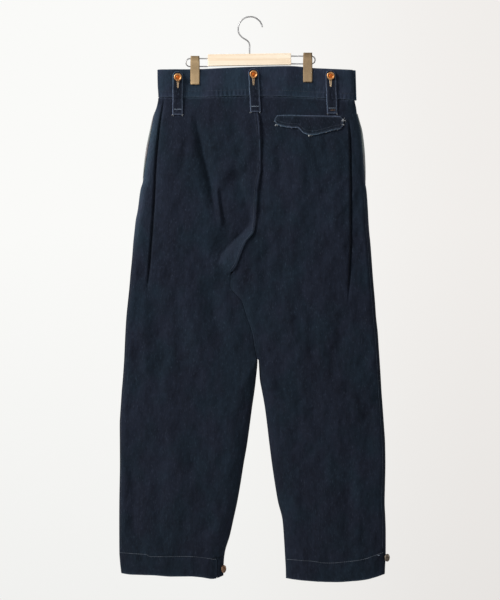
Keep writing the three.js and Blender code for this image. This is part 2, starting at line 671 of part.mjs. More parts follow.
// Hanger: the hook
const wireOutline = (width, sides) => {
  const shape = new THREE.Shape();
  for (let i = 0; i < sides; i += 1) {
    const angle = (2 * Math.PI * i) / sides;
    const at = [Math.cos(angle) * width / 2, Math.sin(angle) * width / 2];
    if (i === 0) shape.moveTo(...at);
    else shape.lineTo(...at);
  }
  shape.closePath();
  return shape;
};

const hookMiddle = new THREE.Vector3(0.6, 0, WIRE / 2 - HOOK_RADIUS);
const hookPoints = [];
for (let degrees = 8; degrees <= 205; degrees += 14) {
  const angle = THREE.MathUtils.degToRad(degrees);
  const around = new THREE.Vector3(Math.cos(angle), 0, Math.sin(angle));
  hookPoints.push(hookMiddle.clone().addScaledVector(around, HOOK_RADIUS));
}
const HOOK_NECK = [[-15, -40], [-5, -46.5], [-1.2, -53], [-1, -62], [-1, BAR_TOP + GAP]];
for (const [x, z] of HOOK_NECK) hookPoints.push(new THREE.Vector3(x, 0, z));
const hookCurve = new THREE.CatmullRomCurve3(hookPoints, false, 'centripetal');
const hook = new THREE.ExtrudeGeometry(wireOutline(WIRE, 8), { extrudePath: hookCurve, steps: 38 });
add('hanger_hook', hook, STEEL);

// Hanger: the wooden bar, with eased edges and a slight tilt
const EASE = 1.2;
const barShape = new THREE.Shape();
const barHalf = BAR_LENGTH / 2 - EASE;
const barUp = BAR_HEIGHT / 2 - EASE;
barShape.moveTo(-barHalf, -barUp);
barShape.lineTo(barHalf, -barUp);
barShape.lineTo(barHalf, barUp);
barShape.lineTo(-barHalf, barUp);
barShape.closePath();
const barGeometry = new THREE.ExtrudeGeometry(barShape, {
  depth: BAR_DEPTH - 2 * EASE, bevelEnabled: true, bevelThickness: EASE, bevelSize: EASE, bevelSegments: 3,
});
barGeometry.translate(0, 0, -BAR_DEPTH / 2 + EASE);
barGeometry.rotateX(Math.PI / 2);
const bar = add('hanger_bar', barGeometry, WOOD);
bar.position.set(-1, 0, BAR_TOP - BAR_HEIGHT / 2);
bar.rotation.y = -Math.atan2(BAR_RISE, BAR_LENGTH);

// Clips: a bent guide wire, a barrel that rides on it and two jaws
function guideWire(clip) {
  const outward = Math.sign(clip.end);
  const bend = (clip.wires[0] - clip.wires[1]) / 2;
  const middle = (clip.wires[0] + clip.wires[1]) / 2;
  const turn = clip.end - outward * (bend + GUIDE_WIRE / 2);
  const start = clip.start + outward * GAP;
  const half = mix(start, turn, 0.5);
  const points = [new THREE.Vector3(start, 0, clip.wires[0]), new THREE.Vector3(half, 0, clip.wires[0])];
  for (let degrees = 90; degrees >= -90; degrees -= 22.5) {
    const angle = THREE.MathUtils.degToRad(degrees);
    const x = turn + outward * bend * Math.cos(angle);
    points.push(new THREE.Vector3(x, 0, middle + bend * Math.sin(angle)));
  }
  points.push(new THREE.Vector3(half, 0, clip.wires[1]));
  points.push(new THREE.Vector3(start, 0, clip.wires[1]));
  const curve = new THREE.CatmullRomCurve3(points, false, 'centripetal');
  return new THREE.ExtrudeGeometry(wireOutline(GUIDE_WIRE, 6), { extrudePath: curve, steps: 22 });
}

// A jaw is a bent sheet: out from the middle plane and down, as seen from the side
function jaw(clip, face, barrel) {
  const inside = [
    [barrel.radius + GAP, clip.top],
    [barrel.radius + GAP, barrel.z - 5],
    [PINCHED + GAP / 2 + GAP, -112],
    [PINCHED + GAP / 2 + GAP, clip.foot + 4],
    [PINCHED + 2.2, clip.foot],
  ];
  const outside = inside.map(([out, z]) => [out + CLIP_SHEET, z]).reverse();
  const shape = new THREE.Shape();
  [...inside, ...outside].forEach(([out, z], i) => {
    if (i === 0) shape.moveTo(out * face, z);
    else shape.lineTo(out * face, z);
  });
  shape.closePath();
  const geometry = new THREE.ExtrudeGeometry(shape, { depth: CLIP_WIDTH, bevelEnabled: false });
  geometry.translate(0, 0, -CLIP_WIDTH / 2);
  geometry.applyMatrix4(new THREE.Matrix4().makeBasis(
    new THREE.Vector3(0, 1, 0), new THREE.Vector3(0, 0, 1), new THREE.Vector3(1, 0, 0)));
  return geometry.translate(clip.x, 0, 0);
}

for (const clip of CLIPS) {
  const room = (clip.wires[0] - clip.wires[1]) / 2 - GUIDE_WIRE / 2;
  const barrel = { z: (clip.wires[0] + clip.wires[1]) / 2, radius: room - GAP };
  const roller = new THREE.CylinderGeometry(barrel.radius, barrel.radius, CLIP_WIDTH - 3, 16);
  roller.rotateZ(Math.PI / 2).translate(clip.x, 0, barrel.z);
  add(`clip_barrel_${clip.side}`, roller, BRASS);
  add(`clip_wire_${clip.side}`, guideWire(clip), STEEL);
  add(`clip_jaw_back_${clip.side}`, jaw(clip, -1, barrel), BRASS);
  add(`clip_jaw_front_${clip.side}`, jaw(clip, 1, barrel), BRASS);
}

export default garment;
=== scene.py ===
import math

import bpy
import numpy as np
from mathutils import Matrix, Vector


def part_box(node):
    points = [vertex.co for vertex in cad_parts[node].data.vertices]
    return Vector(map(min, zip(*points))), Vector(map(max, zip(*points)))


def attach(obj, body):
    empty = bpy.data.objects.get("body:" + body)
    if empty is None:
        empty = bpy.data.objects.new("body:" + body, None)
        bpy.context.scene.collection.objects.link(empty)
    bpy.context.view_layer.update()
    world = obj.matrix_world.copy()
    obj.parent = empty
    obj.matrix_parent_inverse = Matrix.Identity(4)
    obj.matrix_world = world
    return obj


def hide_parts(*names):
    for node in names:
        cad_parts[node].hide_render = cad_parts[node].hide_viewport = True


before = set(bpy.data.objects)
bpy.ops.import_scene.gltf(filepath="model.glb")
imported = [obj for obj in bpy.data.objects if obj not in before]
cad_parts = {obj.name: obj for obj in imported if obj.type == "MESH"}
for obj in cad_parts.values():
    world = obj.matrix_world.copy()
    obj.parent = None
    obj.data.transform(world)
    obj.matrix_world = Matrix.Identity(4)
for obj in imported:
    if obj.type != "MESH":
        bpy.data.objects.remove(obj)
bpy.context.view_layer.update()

# Dark denim trousers on a clip hanger, seen from behind. Shapes are worked out in millimetres in the
# frame's own axes: +Z up, the back of the garment towards -Y and the wearer's right side at +X.
MM = 0.001

# Walls and gaps
CLOTH = 1.6
BAND_WALL = 3.0
TRIM_WALL = 2.2
EDGE_WALL = 1.6
GAP = 0.3

# Heights of the main rows
BAND_TOP = -100
BAND_FOOT = -158
CROTCH = -512
HEM_FOOT = -1115
HEM_TURN = 40

# Clips and vent
CLIP_WIDTH = 18.5
CLIP_REACH = 34
CLIP_X = (-109.5, 115)
PINCHED = BAND_WALL + 0.35
VENT_WIDTH = 14
VENT_HEIGHT = HEM_TURN - GAP

# The front: its depth as a share of the back's, how far aside its meeting line goes at the crotch, and how
# much further its waistband reaches on the right
FRONT_SHARE = 0.9
FRONT_SHIFT = 5
FRONT_SHIFT_REACH = 24
FRONT_EXTRA = 4

# The way inward along X from each half's outseam
TOWARD = {"left": 1, "right": -1}

# Levels of the garment, as in the solids: outseams, meeting line of the back, inner edges of the legs,
# middle of the front, depth of the back, reach of its round edge, and one (1) or two legs (0)
SECTION_COLUMNS = ("z", "leftOut", "leftIn", "rightIn", "rightOut", "front", "depth", "round", "joined")
SECTIONS = (
    (-97, -185, 8, 8, 207, 6, 8.8, 14, 1),
    (-130, -184.5, 10, 10, 208, 6, 9.0, 15, 1),
    (-158, -183, 12, 12, 209, 6, 9.4, 18, 1),
    (-174, -185.5, 14.5, 14.5, 211.8, 6, 11.5, 30, 1),
    (-190, -190.3, 17, 17, 213.4, 6, 14, 44, 1),
    (-208, -193.6, 19.5, 19.5, 216.6, 6, 16.5, 58, 1),
    (-225, -196.3, 21.5, 21.5, 220.2, 6, 18.5, 70, 0.97),
    (-262, -203, 23.5, 23.5, 224, 5, 22, 84, 0.92),
    (-300, -209, 23.4, 23.4, 227, 4, 25, 94, 0.84),
    (-325, -213, 19.5, 19.5, 229, 2, 26.5, 96, 0.78),
    (-344, -218.5, 16.8, 16.8, 232.5, 1, 27.5, 96, 0.72),
    (-384, -224, 15, 15, 235.5, -2, 28.5, 98, 0.6),
    (-404, -228, 13.6, 13.6, 236.5, -5, 28.5, 98, 0.52),
    (-426, -230.5, 11, 11, 238, -9, 28.5, 98, 0.42),
    (-450, -233, -6.5, -6.5, 240.4, -14, 28, 98, 0.3),
    (-470, -234.5, -15, -15, 242, -20, 27.5, 98, 0.2),
    (-492, -236.5, -24, -24, 243.6, -27, 27, 98, 0.09),
    (-512, -238.5, -35, -35, 245, -35, 26.5, 98, 0),
    (-536, -240.5, -36, -36, 247, -36, 26, 98, 0),
    (-565, -243.5, -14, -14, 249.5, -14, 25.5, 98, 0),
    (-594, -246.5, -4, -4, 251.5, -4, 25, 98, 0),
    (-630, -248.8, 8, 8, 255.3, 8, 24.5, 98, 0),
    (-656, -250, 12, 12.4, 257, 12, 24, 98, 0),
    (-682, -251.2, 15.8, 16.3, 258.8, 15, 23.5, 98, 0),
    (-720, -253.8, 12.6, 18.8, 261.2, 15, 23, 98, 0),
    (-745, -256, 9.6, 23.3, 262.6, 15, 22.5, 98, 0),
    (-772, -257.8, 5.6, 28.2, 264.6, 16, 22, 98, 0),
    (-811, -260, 0.4, 33.4, 267.4, 16, 22, 98, 0),
    (-850, -259.8, -5, 38, 269.8, 16, 22, 98, 0),
    (-890, -259.6, -12, 43.2, 270.4, 16, 21.5, 98, 0),
    (-929, -260.2, -18.2, 49, 269.6, 16, 21.5, 98, 0),
    (-965, -260.8, -24.6, 55.2, 268.8, 16, 21, 98, 0),
    (-1000, -261, -32, 64, 270.2, 16, 20.5, 98, 0),
    (-1035, -261, -39.5, 67, 271, 16, 20, 98, 0),
    (-1072, -260.8, -49.8, 69.2, 271, 16, 19.5, 98, 0),
    (-1097, -259, -51.6, 70.6, 269.8, 16, 19.3, 98, 0),
    (-1115, -256.8, -52, 71, 269, 16, 19, 98, 0),
)

# Depth at which folds stand at their full height, share and reach of the level sides' slope, and the
# depth and reach of the hollow under the waistband
FULL_DEPTH = 22
SIDE_SHARE = 0.76
SIDE_REACH = 98
HOLLOW = 1.2
HOLLOW_REACH = 4.5

# Reach of the round inner edges of the two halves, smallest where the halves meet
INNER_ROUND = ((-225, 3), (-676, 3), (-710, 16), (-750, 36), (-1115, 44))

# Top and foot of the waistband, and foot of each hem, across the width
BAND_COLUMNS = ("x", "top", "foot")
BAND_EDGE = ((-190, -104, -159.6), (-100, -102.8, -159), (0, -98.6, -157), (82, -97, -158.4),
             (130, -101, -160.8), (212, -105, -165.4))
HEM_EDGE = {
    "left": ((-262, -1106.8), (-235, -1109.6), (-195, -1110.4), (-155, -1113), (-120, -1112.6),
             (-96, -1114.6), (-74, -1117.8), (-51, -1111.5)),
    "right": ((70, -1117), (120, -1122), (165, -1124), (224, -1120.5), (271, -1108.5)),
}

# Folds: height outward (a trough is negative), widths of the slopes towards lower and higher x, how
# sharp the crest is, and the path downward in x and z
FOLDS = {
    "leftBack": (
        (2, 16, 22, 0, ((-150, -165), (-158, -230), (-166, -330), (-176, -470))),
        (-11, 12, 14, 0.6, ((-113, -172), (-101, -234), (-88, -291), (-75, -351), (-66, -410))),
        (-9, 38, 8, 0.6, ((-26, -286), (-20, -335), (-7, -372), (-1, -404), (-16, -430), (-38, -451),
                          (-58, -475), (-66, -496))),
        (1.2, 3, 3, 0.4, ((-44, -520), (-38, -540), (-26, -556), (-12, -576), (-8, -606))),
        (4, 7, 5, 0.5, ((-67, -332), (-63, -366), (-59, -400), (-55, -428))),
        (-5.5, 5, 10, 0.6, ((-60, -334), (-56, -372), (-47, -420))),
        (-4, 14, 16, 0.2, ((-70, -338), (-33, -322), (-2, -327))),
        (3, 12, 14, 0, ((-60, -312), (-34, -300), (-4, -306))),
        (5, 24, 26, 0, ((-131, -500), (-106, -624), (-77, -720))),
        (-5, 20, 18, 0, ((-192, -552), (-184, -640), (-176, -740))),
        (-5, 16, 14, 0.2, ((-86, -520), (-72, -590), (-52, -660))),
        (-4, 10, 12, 0.3, ((-241, -868), (-232, -940), (-230, -1006), (-222, -1066))),
        (4, 26, 26, 0, ((-150, -820), (-140, -930), (-146, -1040))),
        (1.6, 4, 4, 0.6, ((-82, -166), (-82, -196), (-84, -226))),
        (2, 10, 12, 0, ((-137, -212), (-139, -262), (-136, -316))),
        (-1.8, 8, 8, 0, ((-124, -164), (-128, -220), (-130, -290))),
        (-2.4, 14, 12, 0.2, ((-30, -165), (-34, -214), (-44, -262))),
        (2.2, 16, 12, 0, ((-8, -172), (-2, -240), (-2, -300))),
        (-2.5, 16, 18, 0, ((-150, -560), (-138, -660), (-122, -744))),
        (2.4, 12, 14, 0, ((-214, -560), (-208, -660), (-204, -760))),
        (-2.6, 16, 14, 0, ((-104, -800), (-112, -880), (-122, -960))),
        (2.2, 12, 12, 0, ((-60, -760), (-66, -840), (-80, -930))),
        (-2.2, 12, 14, 0.2, ((-36, -742), (-70, -768), (-116, -782))),
        (1.8, 9, 10, 0, ((-44, -900), (-84, -914), (-128, -912))),
        (-2, 12, 12, 0, ((-190, -900), (-184, -980), (-180, -1050))),
        (-1.8, 9, 10, 0.2, ((-62, -1000), (-92, -1020), (-122, -1052))),
    ),
    "rightBack": (
        (2, 20, 14, 0, ((170, -240), (176, -330), (178, -450), (172, -540))),
        (-5, 20, 20, 0, ((190, -570), (176, -660), (160, -740))),
        (4, 26, 26, 0, ((96, -260), (92, -360), (84, -470))),
        (-5, 14, 18, 0.2, ((38, -728), (72, -748), (112, -766), (150, -806))),
        (-4, 18, 14, 0, ((232, -750), (234, -820), (232, -910))),
        (4, 26, 24, 0, ((150, -900), (160, -980), (158, -1060))),
        (-3, 16, 20, 0, ((-20, -545), (12, -600), (40, -626))),
        (-3, 12, 14, 0.2, ((26, -460), (52, -496), (90, -520))),
        (-2.4, 5, 7, 0.5, ((14, -638), (28, -632), (44, -625))),
        (-2, 9, 9, 0.3, ((52, -246), (60, -300), (62, -360))),
        (2.4, 14, 16, 0, ((34, -240), (36, -320), (34, -400))),
        (-2, 10, 10, 0, ((128, -246), (136, -300), (140, -380))),
        (-1.4, 5, 5, 0.4, ((60, -186), (110, -188), (180, -190))),
        (2.6, 16, 16, 0, ((60, -560), (84, -640), (96, -716))),
        (-2.6, 14, 14, 0, ((120, -560), (128, -640), (124, -716))),
        (2.6, 12, 12, 0, ((60, -782), (104, -800), (136, -850))),
        (-2.8, 14, 12, 0.2, ((70, -820), (106, -838), (140, -884))),
        (-2.4, 12, 14, 0, ((196, -820), (190, -900), (196, -980))),
        (2.2, 14, 14, 0, ((214, -900), (216, -980), (212, -1060))),
        (-2.2, 12, 12, 0, ((104, -930), (110, -1000), (112, -1060))),
        (-1.8, 9, 10, 0.2, ((84, -1000), (120, -1016), (166, -1012))),
    ),
    "leftFront": (
        (-5, 14, 18, 0.3, ((-150, -200), (-146, -330), (-150, -480))),
        (5, 24, 24, 0, ((-110, -300), (-118, -520), (-130, -760))),
        (-4, 18, 20, 0.2, ((-60, -470), (-84, -560), (-120, -640))),
        (-4, 20, 20, 0, ((-186, -760), (-176, -900), (-170, -1030))),
        (-2.6, 12, 14, 0.2, ((-24, -380), (-62, -400), (-110, -392))),
        (2.4, 14, 14, 0, ((-70, -200), (-74, -290), (-80, -380))),
        (-2.4, 12, 12, 0, ((-96, -760), (-104, -860), (-116, -980))),
        (2.2, 12, 12, 0, ((-210, -560), (-206, -700), (-214, -820))),
        (-2, 10, 10, 0.2, ((-40, -800), (-84, -826), (-130, -826))),
        (-2, 10, 12, 0, ((-220, -240), (-200, -330), (-206, -420))),
    ),
    "rightFront": (
        (-5, 18, 14, 0.3, ((160, -200), (160, -330), (164, -480))),
        (5, 24, 24, 0, ((118, -300), (124, -520), (142, -760))),
        (-4, 20, 18, 0.2, ((40, -500), (72, -590), (110, -660))),
        (-4, 20, 20, 0, ((196, -780), (186, -900), (180, -1030))),
        (-2.6, 14, 12, 0.2, ((16, -392), (60, -416), (108, -404))),
        (2.4, 14, 14, 0, ((78, -200), (84, -290), (88, -380))),
        (-2.4, 12, 12, 0, ((104, -780), (112, -880), (124, -990))),
        (2.2, 12, 12, 0, ((220, -560), (218, -700), (226, -820))),
        (-2, 10, 10, 0.2, ((50, -820), (94, -842), (140, -840))),
        (-2, 10, 12, 0, ((206, -240), (210, -330), (214, -420))),
    ),
}

# The crease down each side of the back, as x at each level: a groove on the left, a step down on the right
CREASE_DEPTH = 7
CREASE_STEP = 3
CREASES = {
    "left": ((-158, -170), (-224, -180.4), (-284, -186.3), (-364, -190.3), (-443, -195.5), (-503, -200.3),
             (-563, -205), (-1115, -214)),
    "right": ((-158, 193), (-224, 196.6), (-284, 198.3), (-364, 198.9), (-443, 198.9), (-503, 196.3),
              (-563, 194), (-1115, 226)),
}

# The back's middle seam lies a little to the left of the meeting line, in x at each level
SEAM_SHIFT = ((-170, 0), (-200, -3), (-260, -3.5), (-344, -3), (-426, -5), (-490, -4.5), (-508, -2),
              (-520, 0), (-1115, 0))

# How high the left and the right side stand beside that seam, how far the left side laps over it (below
# zero the right side laps over the left), and the width of the left side's face
SEAM_COLUMNS = ("z", "left", "right", "lap", "wide")
SEAM = (
    (-170, 0, 0, 0, 6), (-204, 0, -2.4, 6, 6), (-240, 0, -3.6, 6, 6), (-330, 0, -3.8, 6, 6),
    (-384, 1, -3.4, 6, 9), (-404, 2, -3, 6, 12), (-430, 3.5, -2, 6, 22), (-451, 5, 0.5, 6, 28),
    (-475, 6.5, 3, 6, 38), (-490, 6, 2.8, 6, 37), (-503, 3, 0.8, 6, 24), (-509, 1, 1, 0, 16),
    (-516, -1.6, 0.4, -6, 12), (-560, -1.7, 0, -6, 10), (-630, -2, 0, -6, 8), (-650, -3.5, 0, -6, 6),
    (-676, -3, 0, -5.5, 6), (-688, 0, 0, 0, 6), (-1115, 0, 0, 0, 6),
)

# Belt loops: the grid column along their middle, and for each the side it is on, its middle at the top
# and at the foot, and the height of its top edge
LOOP_COLUMNS = ("face", "top", "foot", "head")
LOOP_MIDDLE = 13
LOOP_WIDTH = 20.5
LOOP_LENGTH = 87
LOOPS = {
    "back_loop_left": (-1, -143.5, -144, -107.5),
    "back_loop_centre": (-1, 6.5, 11, -101.8),
    "back_loop_right": (-1, 160, 163.5, -105),
    "front_loop_left": (1, -80, -80, -106.5),
    "front_loop_right": (1, 86, 86, -101),
}

# Pocket flap: top and foot across its width
FLAP = ((48.6, -203.5, -207), (54, -195.5, -214.5), (71, -194.6, -219.8), (96, -195.2, -221.3),
        (108, -195.5, -232.4), (118.2, -195.7, -235.8), (135, -196, -234), (160, -196.5, -227),
        (180, -197, -222.6), (185, -204, -215.5))


def smooth(t):
    t = np.clip(t, 0, 1)
    return t * t * (3 - 2 * t)


def mix(a, b, t):
    return a + (b - a) * t


def round_edge(t):
    """Quarter of an ellipse: upright at 0 and level at 1."""
    return np.sqrt(np.maximum(1 - (1 - np.clip(t, 0, 1)) ** 2, 0))


def soft_edge(t):
    return 1 - (1 - np.clip(t, 0, 1)) ** 2


def curve_through(xs, ys):
    """A curve through table rows that never overshoots them."""
    order = np.argsort(xs)
    x, y = np.asarray(xs, float)[order], np.asarray(ys, float)[order]
    step = np.diff(y) / np.diff(x)
    before, after = np.r_[step[0], step], np.r_[step, step[-1]]
    with np.errstate(divide="ignore", invalid="ignore"):
        slope = np.where(before * after <= 0, 0, 2 * before * after / (before + after))

    def at(value):
        v = np.clip(value, x[0], x[-1])
        i = np.clip(np.searchsorted(x, v, side="right") - 1, 0, len(x) - 2)
        span = x[i + 1] - x[i]
        t = (v - x[i]) / span
        start = y[i] * (1 + 2 * t) * (1 - t) ** 2 + slope[i] * span * t * (1 - t) ** 2
        return start + y[i + 1] * t * t * (3 - 2 * t) + slope[i + 1] * span * t * t * (t - 1)

    return at


def curves(columns, rows):
    """A curve for each column of a table over its first one."""
    first, *others = zip(*rows)
    return {name: curve_through(first, values) for name, values in zip(columns[1:], others)}


section = curves(SECTION_COLUMNS, SECTIONS)
seam_line = curves(SEAM_COLUMNS, SEAM)
band_top, band_foot = curves(BAND_COLUMNS, BAND_EDGE).values()
hem_foot = {half: curve_through(*zip(*rows)) for half, rows in HEM_EDGE.items()}
crease_x = {half: curve_through(*zip(*rows)) for half, rows in CREASES.items()}
inner_round = curve_through(*zip(*INNER_ROUND))
seam_shift = curve_through(*zip(*SEAM_SHIFT))


def run_along(points, axis=0):
    """Distance along lines of points from their first one."""
    steps = np.linalg.norm(np.diff(points, axis=axis), axis=-1)
    return np.cumsum(np.insert(steps, 0, 0, axis=axis), axis=axis)


def through_points(points, count=28):
    """Points along a smooth curve (Catmull-Rom) through the given ones."""
    p = np.asarray(points, float)
    p = np.vstack([2 * p[0] - p[1], p, 2 * p[-1] - p[-2]])
    made = []
    for i in range(1, len(p) - 2):
        t = np.linspace(0, 1, max(count // (len(p) - 3), 2), endpoint=False)[:, None]
        a, b, c, d = p[i - 1], p[i], p[i + 1], p[i + 2]
        bend = (2 * a - 5 * b + 4 * c - d) * t**2 + (3 * b - a - 3 * c + d) * t**3
        made.append(0.5 * (2 * b + (c - a) * t + bend))
    return np.vstack([*made, p[-2]])


def fold_heights(folds, x, z):
    """Sum of the folds' heights at places in x and z."""
    total = np.zeros(np.broadcast(x, z).shape)
    for height, low, high, sharp, path in folds:
        line = through_points(path)
        best = np.full(total.shape, np.inf)
        side = np.ones(total.shape)
        share = np.zeros(total.shape)
        for i in range(len(line) - 1):
            (ax, az), (dx, dz) = line[i], line[i + 1] - line[i]
            t = np.clip(((x - ax) * dx + (z - az) * dz) / (dx * dx + dz * dz), 0, 1)
            away = np.hypot(x - ax - t * dx, z - az - t * dz)
            nearer = away < best
            best = np.where(nearer, away, best)
            side = np.where(nearer, (x - ax) * -dz + (z - az) * dx, side)
            share = np.where(nearer, (i + t) / (len(line) - 1), share)
        wide = mix(low, high, smooth(side / np.abs(side).max() * 40 + 0.5))
        ends = smooth(share / 0.22) * smooth((1 - share) / 0.28)
        soft = np.exp(-((best / wide) ** 2))
        crisp = np.exp(-(np.sqrt(best**2 + 2.2) - 1.48) / wide * 1.5)
        total += height * ends * mix(soft, crisp, sharp)
    return total


def unevenness(x, z, seed, size, reach):
    """Gentle waves in all directions, mostly along Z, of about the given height and length."""
    random = np.random.RandomState(seed)
    total = np.zeros(np.broadcast(x, z).shape)
    for _ in range(16):
        angle = random.normal(0, 0.5)
        length = reach * random.uniform(0.55, 1.7)
        across = (x * math.cos(angle) + z * math.sin(angle)) / length
        along = (z * math.cos(angle) - x * math.sin(angle)) / (length * 3.1)
        wave = np.sin(2 * math.pi * (across + random.rand()))
        total += wave * np.cos(2 * math.pi * (along + random.rand()))
    return total * size / 4


def grip(x, z):
    """How hard the nearest clip presses the band's faces together."""
    away = np.minimum(np.abs(x - CLIP_X[0]), np.abs(x - CLIP_X[1]))
    return (1 - smooth((away - CLIP_WIDTH * 0.65) / CLIP_REACH)) * smooth((z + 190) / 52)


def inner_line(half, face, z):
    own = section[f"{half}In"](z)
    if face < 0:
        return own + seam_shift(z)
    aside = FRONT_SHIFT * np.exp(-(((z - CROTCH) / FRONT_SHIFT_REACH) ** 2))
    return np.where(z > CROTCH, section["front"](z), own) + aside


def seam_puckers(x, z, seam, reach, period, seed):
    """Short upright waves that a row of stitches draws in the cloth beside a seam."""
    wander = np.sin(x / 17 + seed) * 1.4 + np.sin(x / 7.3 + 2 * seed) * 0.6
    strength = 0.5 + 0.5 * np.sin(x / 31 + seed * 3)
    return strength * np.sin(2 * math.pi * x / period + wander) * np.exp(-(((z - seam) / reach) ** 2))


def panel_depth(half, face, share, z):
    """Distance of a panel's outer face from the middle plane, at a share of the half's width."""
    out = section[f"{half}Out"](z)
    inner = inner_line(half, face, z)
    x = mix(out, inner, share)
    wide = np.abs(inner - out)
    reach = np.minimum(section["round"](z), wide / 2)
    joined = section["joined"](z)
    from_out, from_inner = share * wide, (1 - share) * wide
    inner_reach = np.minimum(reach, inner_round(z))
    valley = mix(round_edge(from_inner / inner_reach), soft_edge(from_inner / inner_reach), joined)
    deep = section["depth"](z) * (1 if face < 0 else mix(FRONT_SHARE, 1, grip(x, z)))
    folds = FOLDS[half + ("Back" if face < 0 else "Front")]
    free = smooth(from_out / 14) * mix(smooth(from_inner / 14), 1, joined) * np.clip(deep / FULL_DEPTH, 0, 1)
    flat = smooth((BAND_FOOT - z) / 50) * smooth((z + 1075) / 60) * (face < 0)
    level_side = mix(SIDE_SHARE, 1, smooth(from_out / SIDE_REACH)) * round_edge(from_out / 14)
    base = deep * mix(round_edge(from_out / reach), level_side, flat) * mix(valley, 1, joined)
    base = base + side_crease(half, x, z) * np.clip(deep / FULL_DEPTH, 0, 1) * (face < 0)
    seed = {"left": 3, "right": 5}[half] + (face > 0) * 8
    waves = unevenness(x, z, seed, 1.3, 46) + unevenness(x, z, seed + 20, 0.45, 17)
    loose = base + (fold_heights(folds, x, z) + waves) * free
    if face < 0:
        loose = loose + seam_relief(half, from_inner, z) * smooth(from_out / 40)
    pressed = PINCHED * round_edge(from_out / 12)
    least = (CLOTH + 0.7) * round_edge(from_out / 6) * mix(round_edge(from_inner / 6), 1, joined)
    recess = HOLLOW * np.exp(-((BAND_FOOT - z) / HOLLOW_REACH) ** 2)
    recess = recess * (1 - grip(x, z)) * smooth(from_out / 20)
    at_band = 0.35 * seam_puckers(x, z, BAND_FOOT, 14, 9.5, seed)
    at_hem = 0.4 * seam_puckers(x, z, HEM_FOOT + HEM_TURN, 9, 11, seed + 1) * smooth(from_inner / 20)
    puckers = at_band * smooth(from_out / 20) - recess * (face < 0)
    puckers += at_hem * smooth(from_out / 20)
    return np.maximum(mix(loose, pressed, grip(x, z)) - 0.7, least) + puckers


def side_crease(half, x, z):
    """Relief of the crease that runs down each side of the back from the waistband."""
    beyond = x - crease_x[half](z)
    run = smooth((-150 - z) / 30)
    if half == "left":
        return -CREASE_DEPTH * run * smooth((z + 560) / 70) * np.exp(-((beyond / 2.4) ** 2))
    run = smooth((-195 - z) / 50) * smooth((z + 580) / 90)
    groove = CREASE_DEPTH * np.exp(-(((beyond - 1.7) / 2.1) ** 2))
    return -run * (CREASE_STEP * smooth((beyond + 0.3) / 1.1) + groove)


def seam_relief(half, from_inner, z):
    """Relief beside the back's middle seam."""
    beside = seam_line[half](z)
    if half == "left":
        face = np.clip(1 - from_inner / seam_line["wide"](z), 0, 1)
        return np.maximum(beside, 0) * face + np.minimum(beside, 0) * smooth((30 - from_inner) / 28)
    return beside * smooth((44 - from_inner) / 38)


def overlap(half, from_inner, z):
    """How far a side's fold is moved over the seam, in x: its last millimetre stays back."""
    lap = seam_line["lap"](z)
    reach = np.maximum(lap, 0) if half == "left" else np.minimum(lap, 0)
    return reach * smooth((from_inner - 1.1) / 1.5) * smooth((18 - from_inner) / 14)


def real_height(half, x, z):
    """Height of a place whose level in the table is z: the top follows the band, the foot the hem."""
    near_top = 1 - smooth((BAND_FOOT - z) / 60)
    near_hem = smooth((-960 - z) / 100)
    return z + (band_foot(x) - GAP - BAND_FOOT) * near_top + (hem_foot[half](x) - HEM_FOOT) * near_hem


def table_level(half, x, height):
    """The level whose real height is given."""
    z = np.array(height, float)
    for _ in range(6):
        z = z + height - real_height(half, x, z)
    return z


def band_depth(face, x, share):
    z = mix(BAND_TOP, BAND_FOOT, share)
    left = section["leftOut"](z)
    right = section["rightOut"](z) + FRONT_EXTRA * (face > 0)
    reach = section["round"](z)
    edges = round_edge((x - left) / reach) * round_edge((right - x) / reach)
    pressed = PINCHED * round_edge((x - left) / 12) * round_edge((right - x) / 12)
    loose = section["depth"](z) * edges
    height = mix(band_top(x), band_foot(x), share)
    free = (1 - grip(x, z)) * edges
    waves = unevenness(x, height, 31 + face, 0.5, 40)
    down = share * 56
    puckers = 0.9 * seam_puckers(x, down, 50, 6.5, 8.5, 2 + face) + 0.2 * seam_puckers(x, down, 5, 7, 12, 4)
    return mix(loose, pressed, grip(x, z)) + (waves + puckers) * free


def level(face, x, height):
    """Distance of the garment's outermost cloth from the middle plane at places in x and height."""
    x, height = np.broadcast_arrays(np.asarray(x, float), np.asarray(height, float))
    total = np.zeros(x.shape)
    for half in ("left", "right"):
        z = table_level(half, x, height)
        out, inner = section[f"{half}Out"](z), inner_line(half, face, z)
        share = (x - out) / (inner - out)
        inside = (share >= 0) & (share <= 1) & (height <= band_foot(x))
        depth = panel_depth(half, face, np.clip(share, 0, 1), z) + GAP / 2
        total = np.where(inside, np.maximum(total, depth), total)
    share = (height - band_top(x)) / (band_foot(x) - band_top(x))
    on_band = (share >= 0) & (share <= 1)
    return np.where(on_band, band_depth(face, x, np.clip(share, 0, 1)) + GAP / 2, total)


def highest(face, x, height, spread):
    """The level's highest value within a spread of each place."""
    steps = [(i * spread, j * spread) for i in (-1, 0, 1) for j in (-1, 0, 1)]
    return np.max([level(face, x + dx, height + dz) for dx, dz in steps], axis=0)


def spaced(count, near_start, near_end):
    """Shares from 0 to 1, closer together near the ends."""
    t = (np.arange(count) + 0.5) / count
    gap = 1 - 0.75 * (np.exp(-((t / near_start) ** 2)) + np.exp(-(((1 - t) / near_end) ** 2)))
    total = np.r_[0, np.cumsum(gap)]
    return total / total[-1]


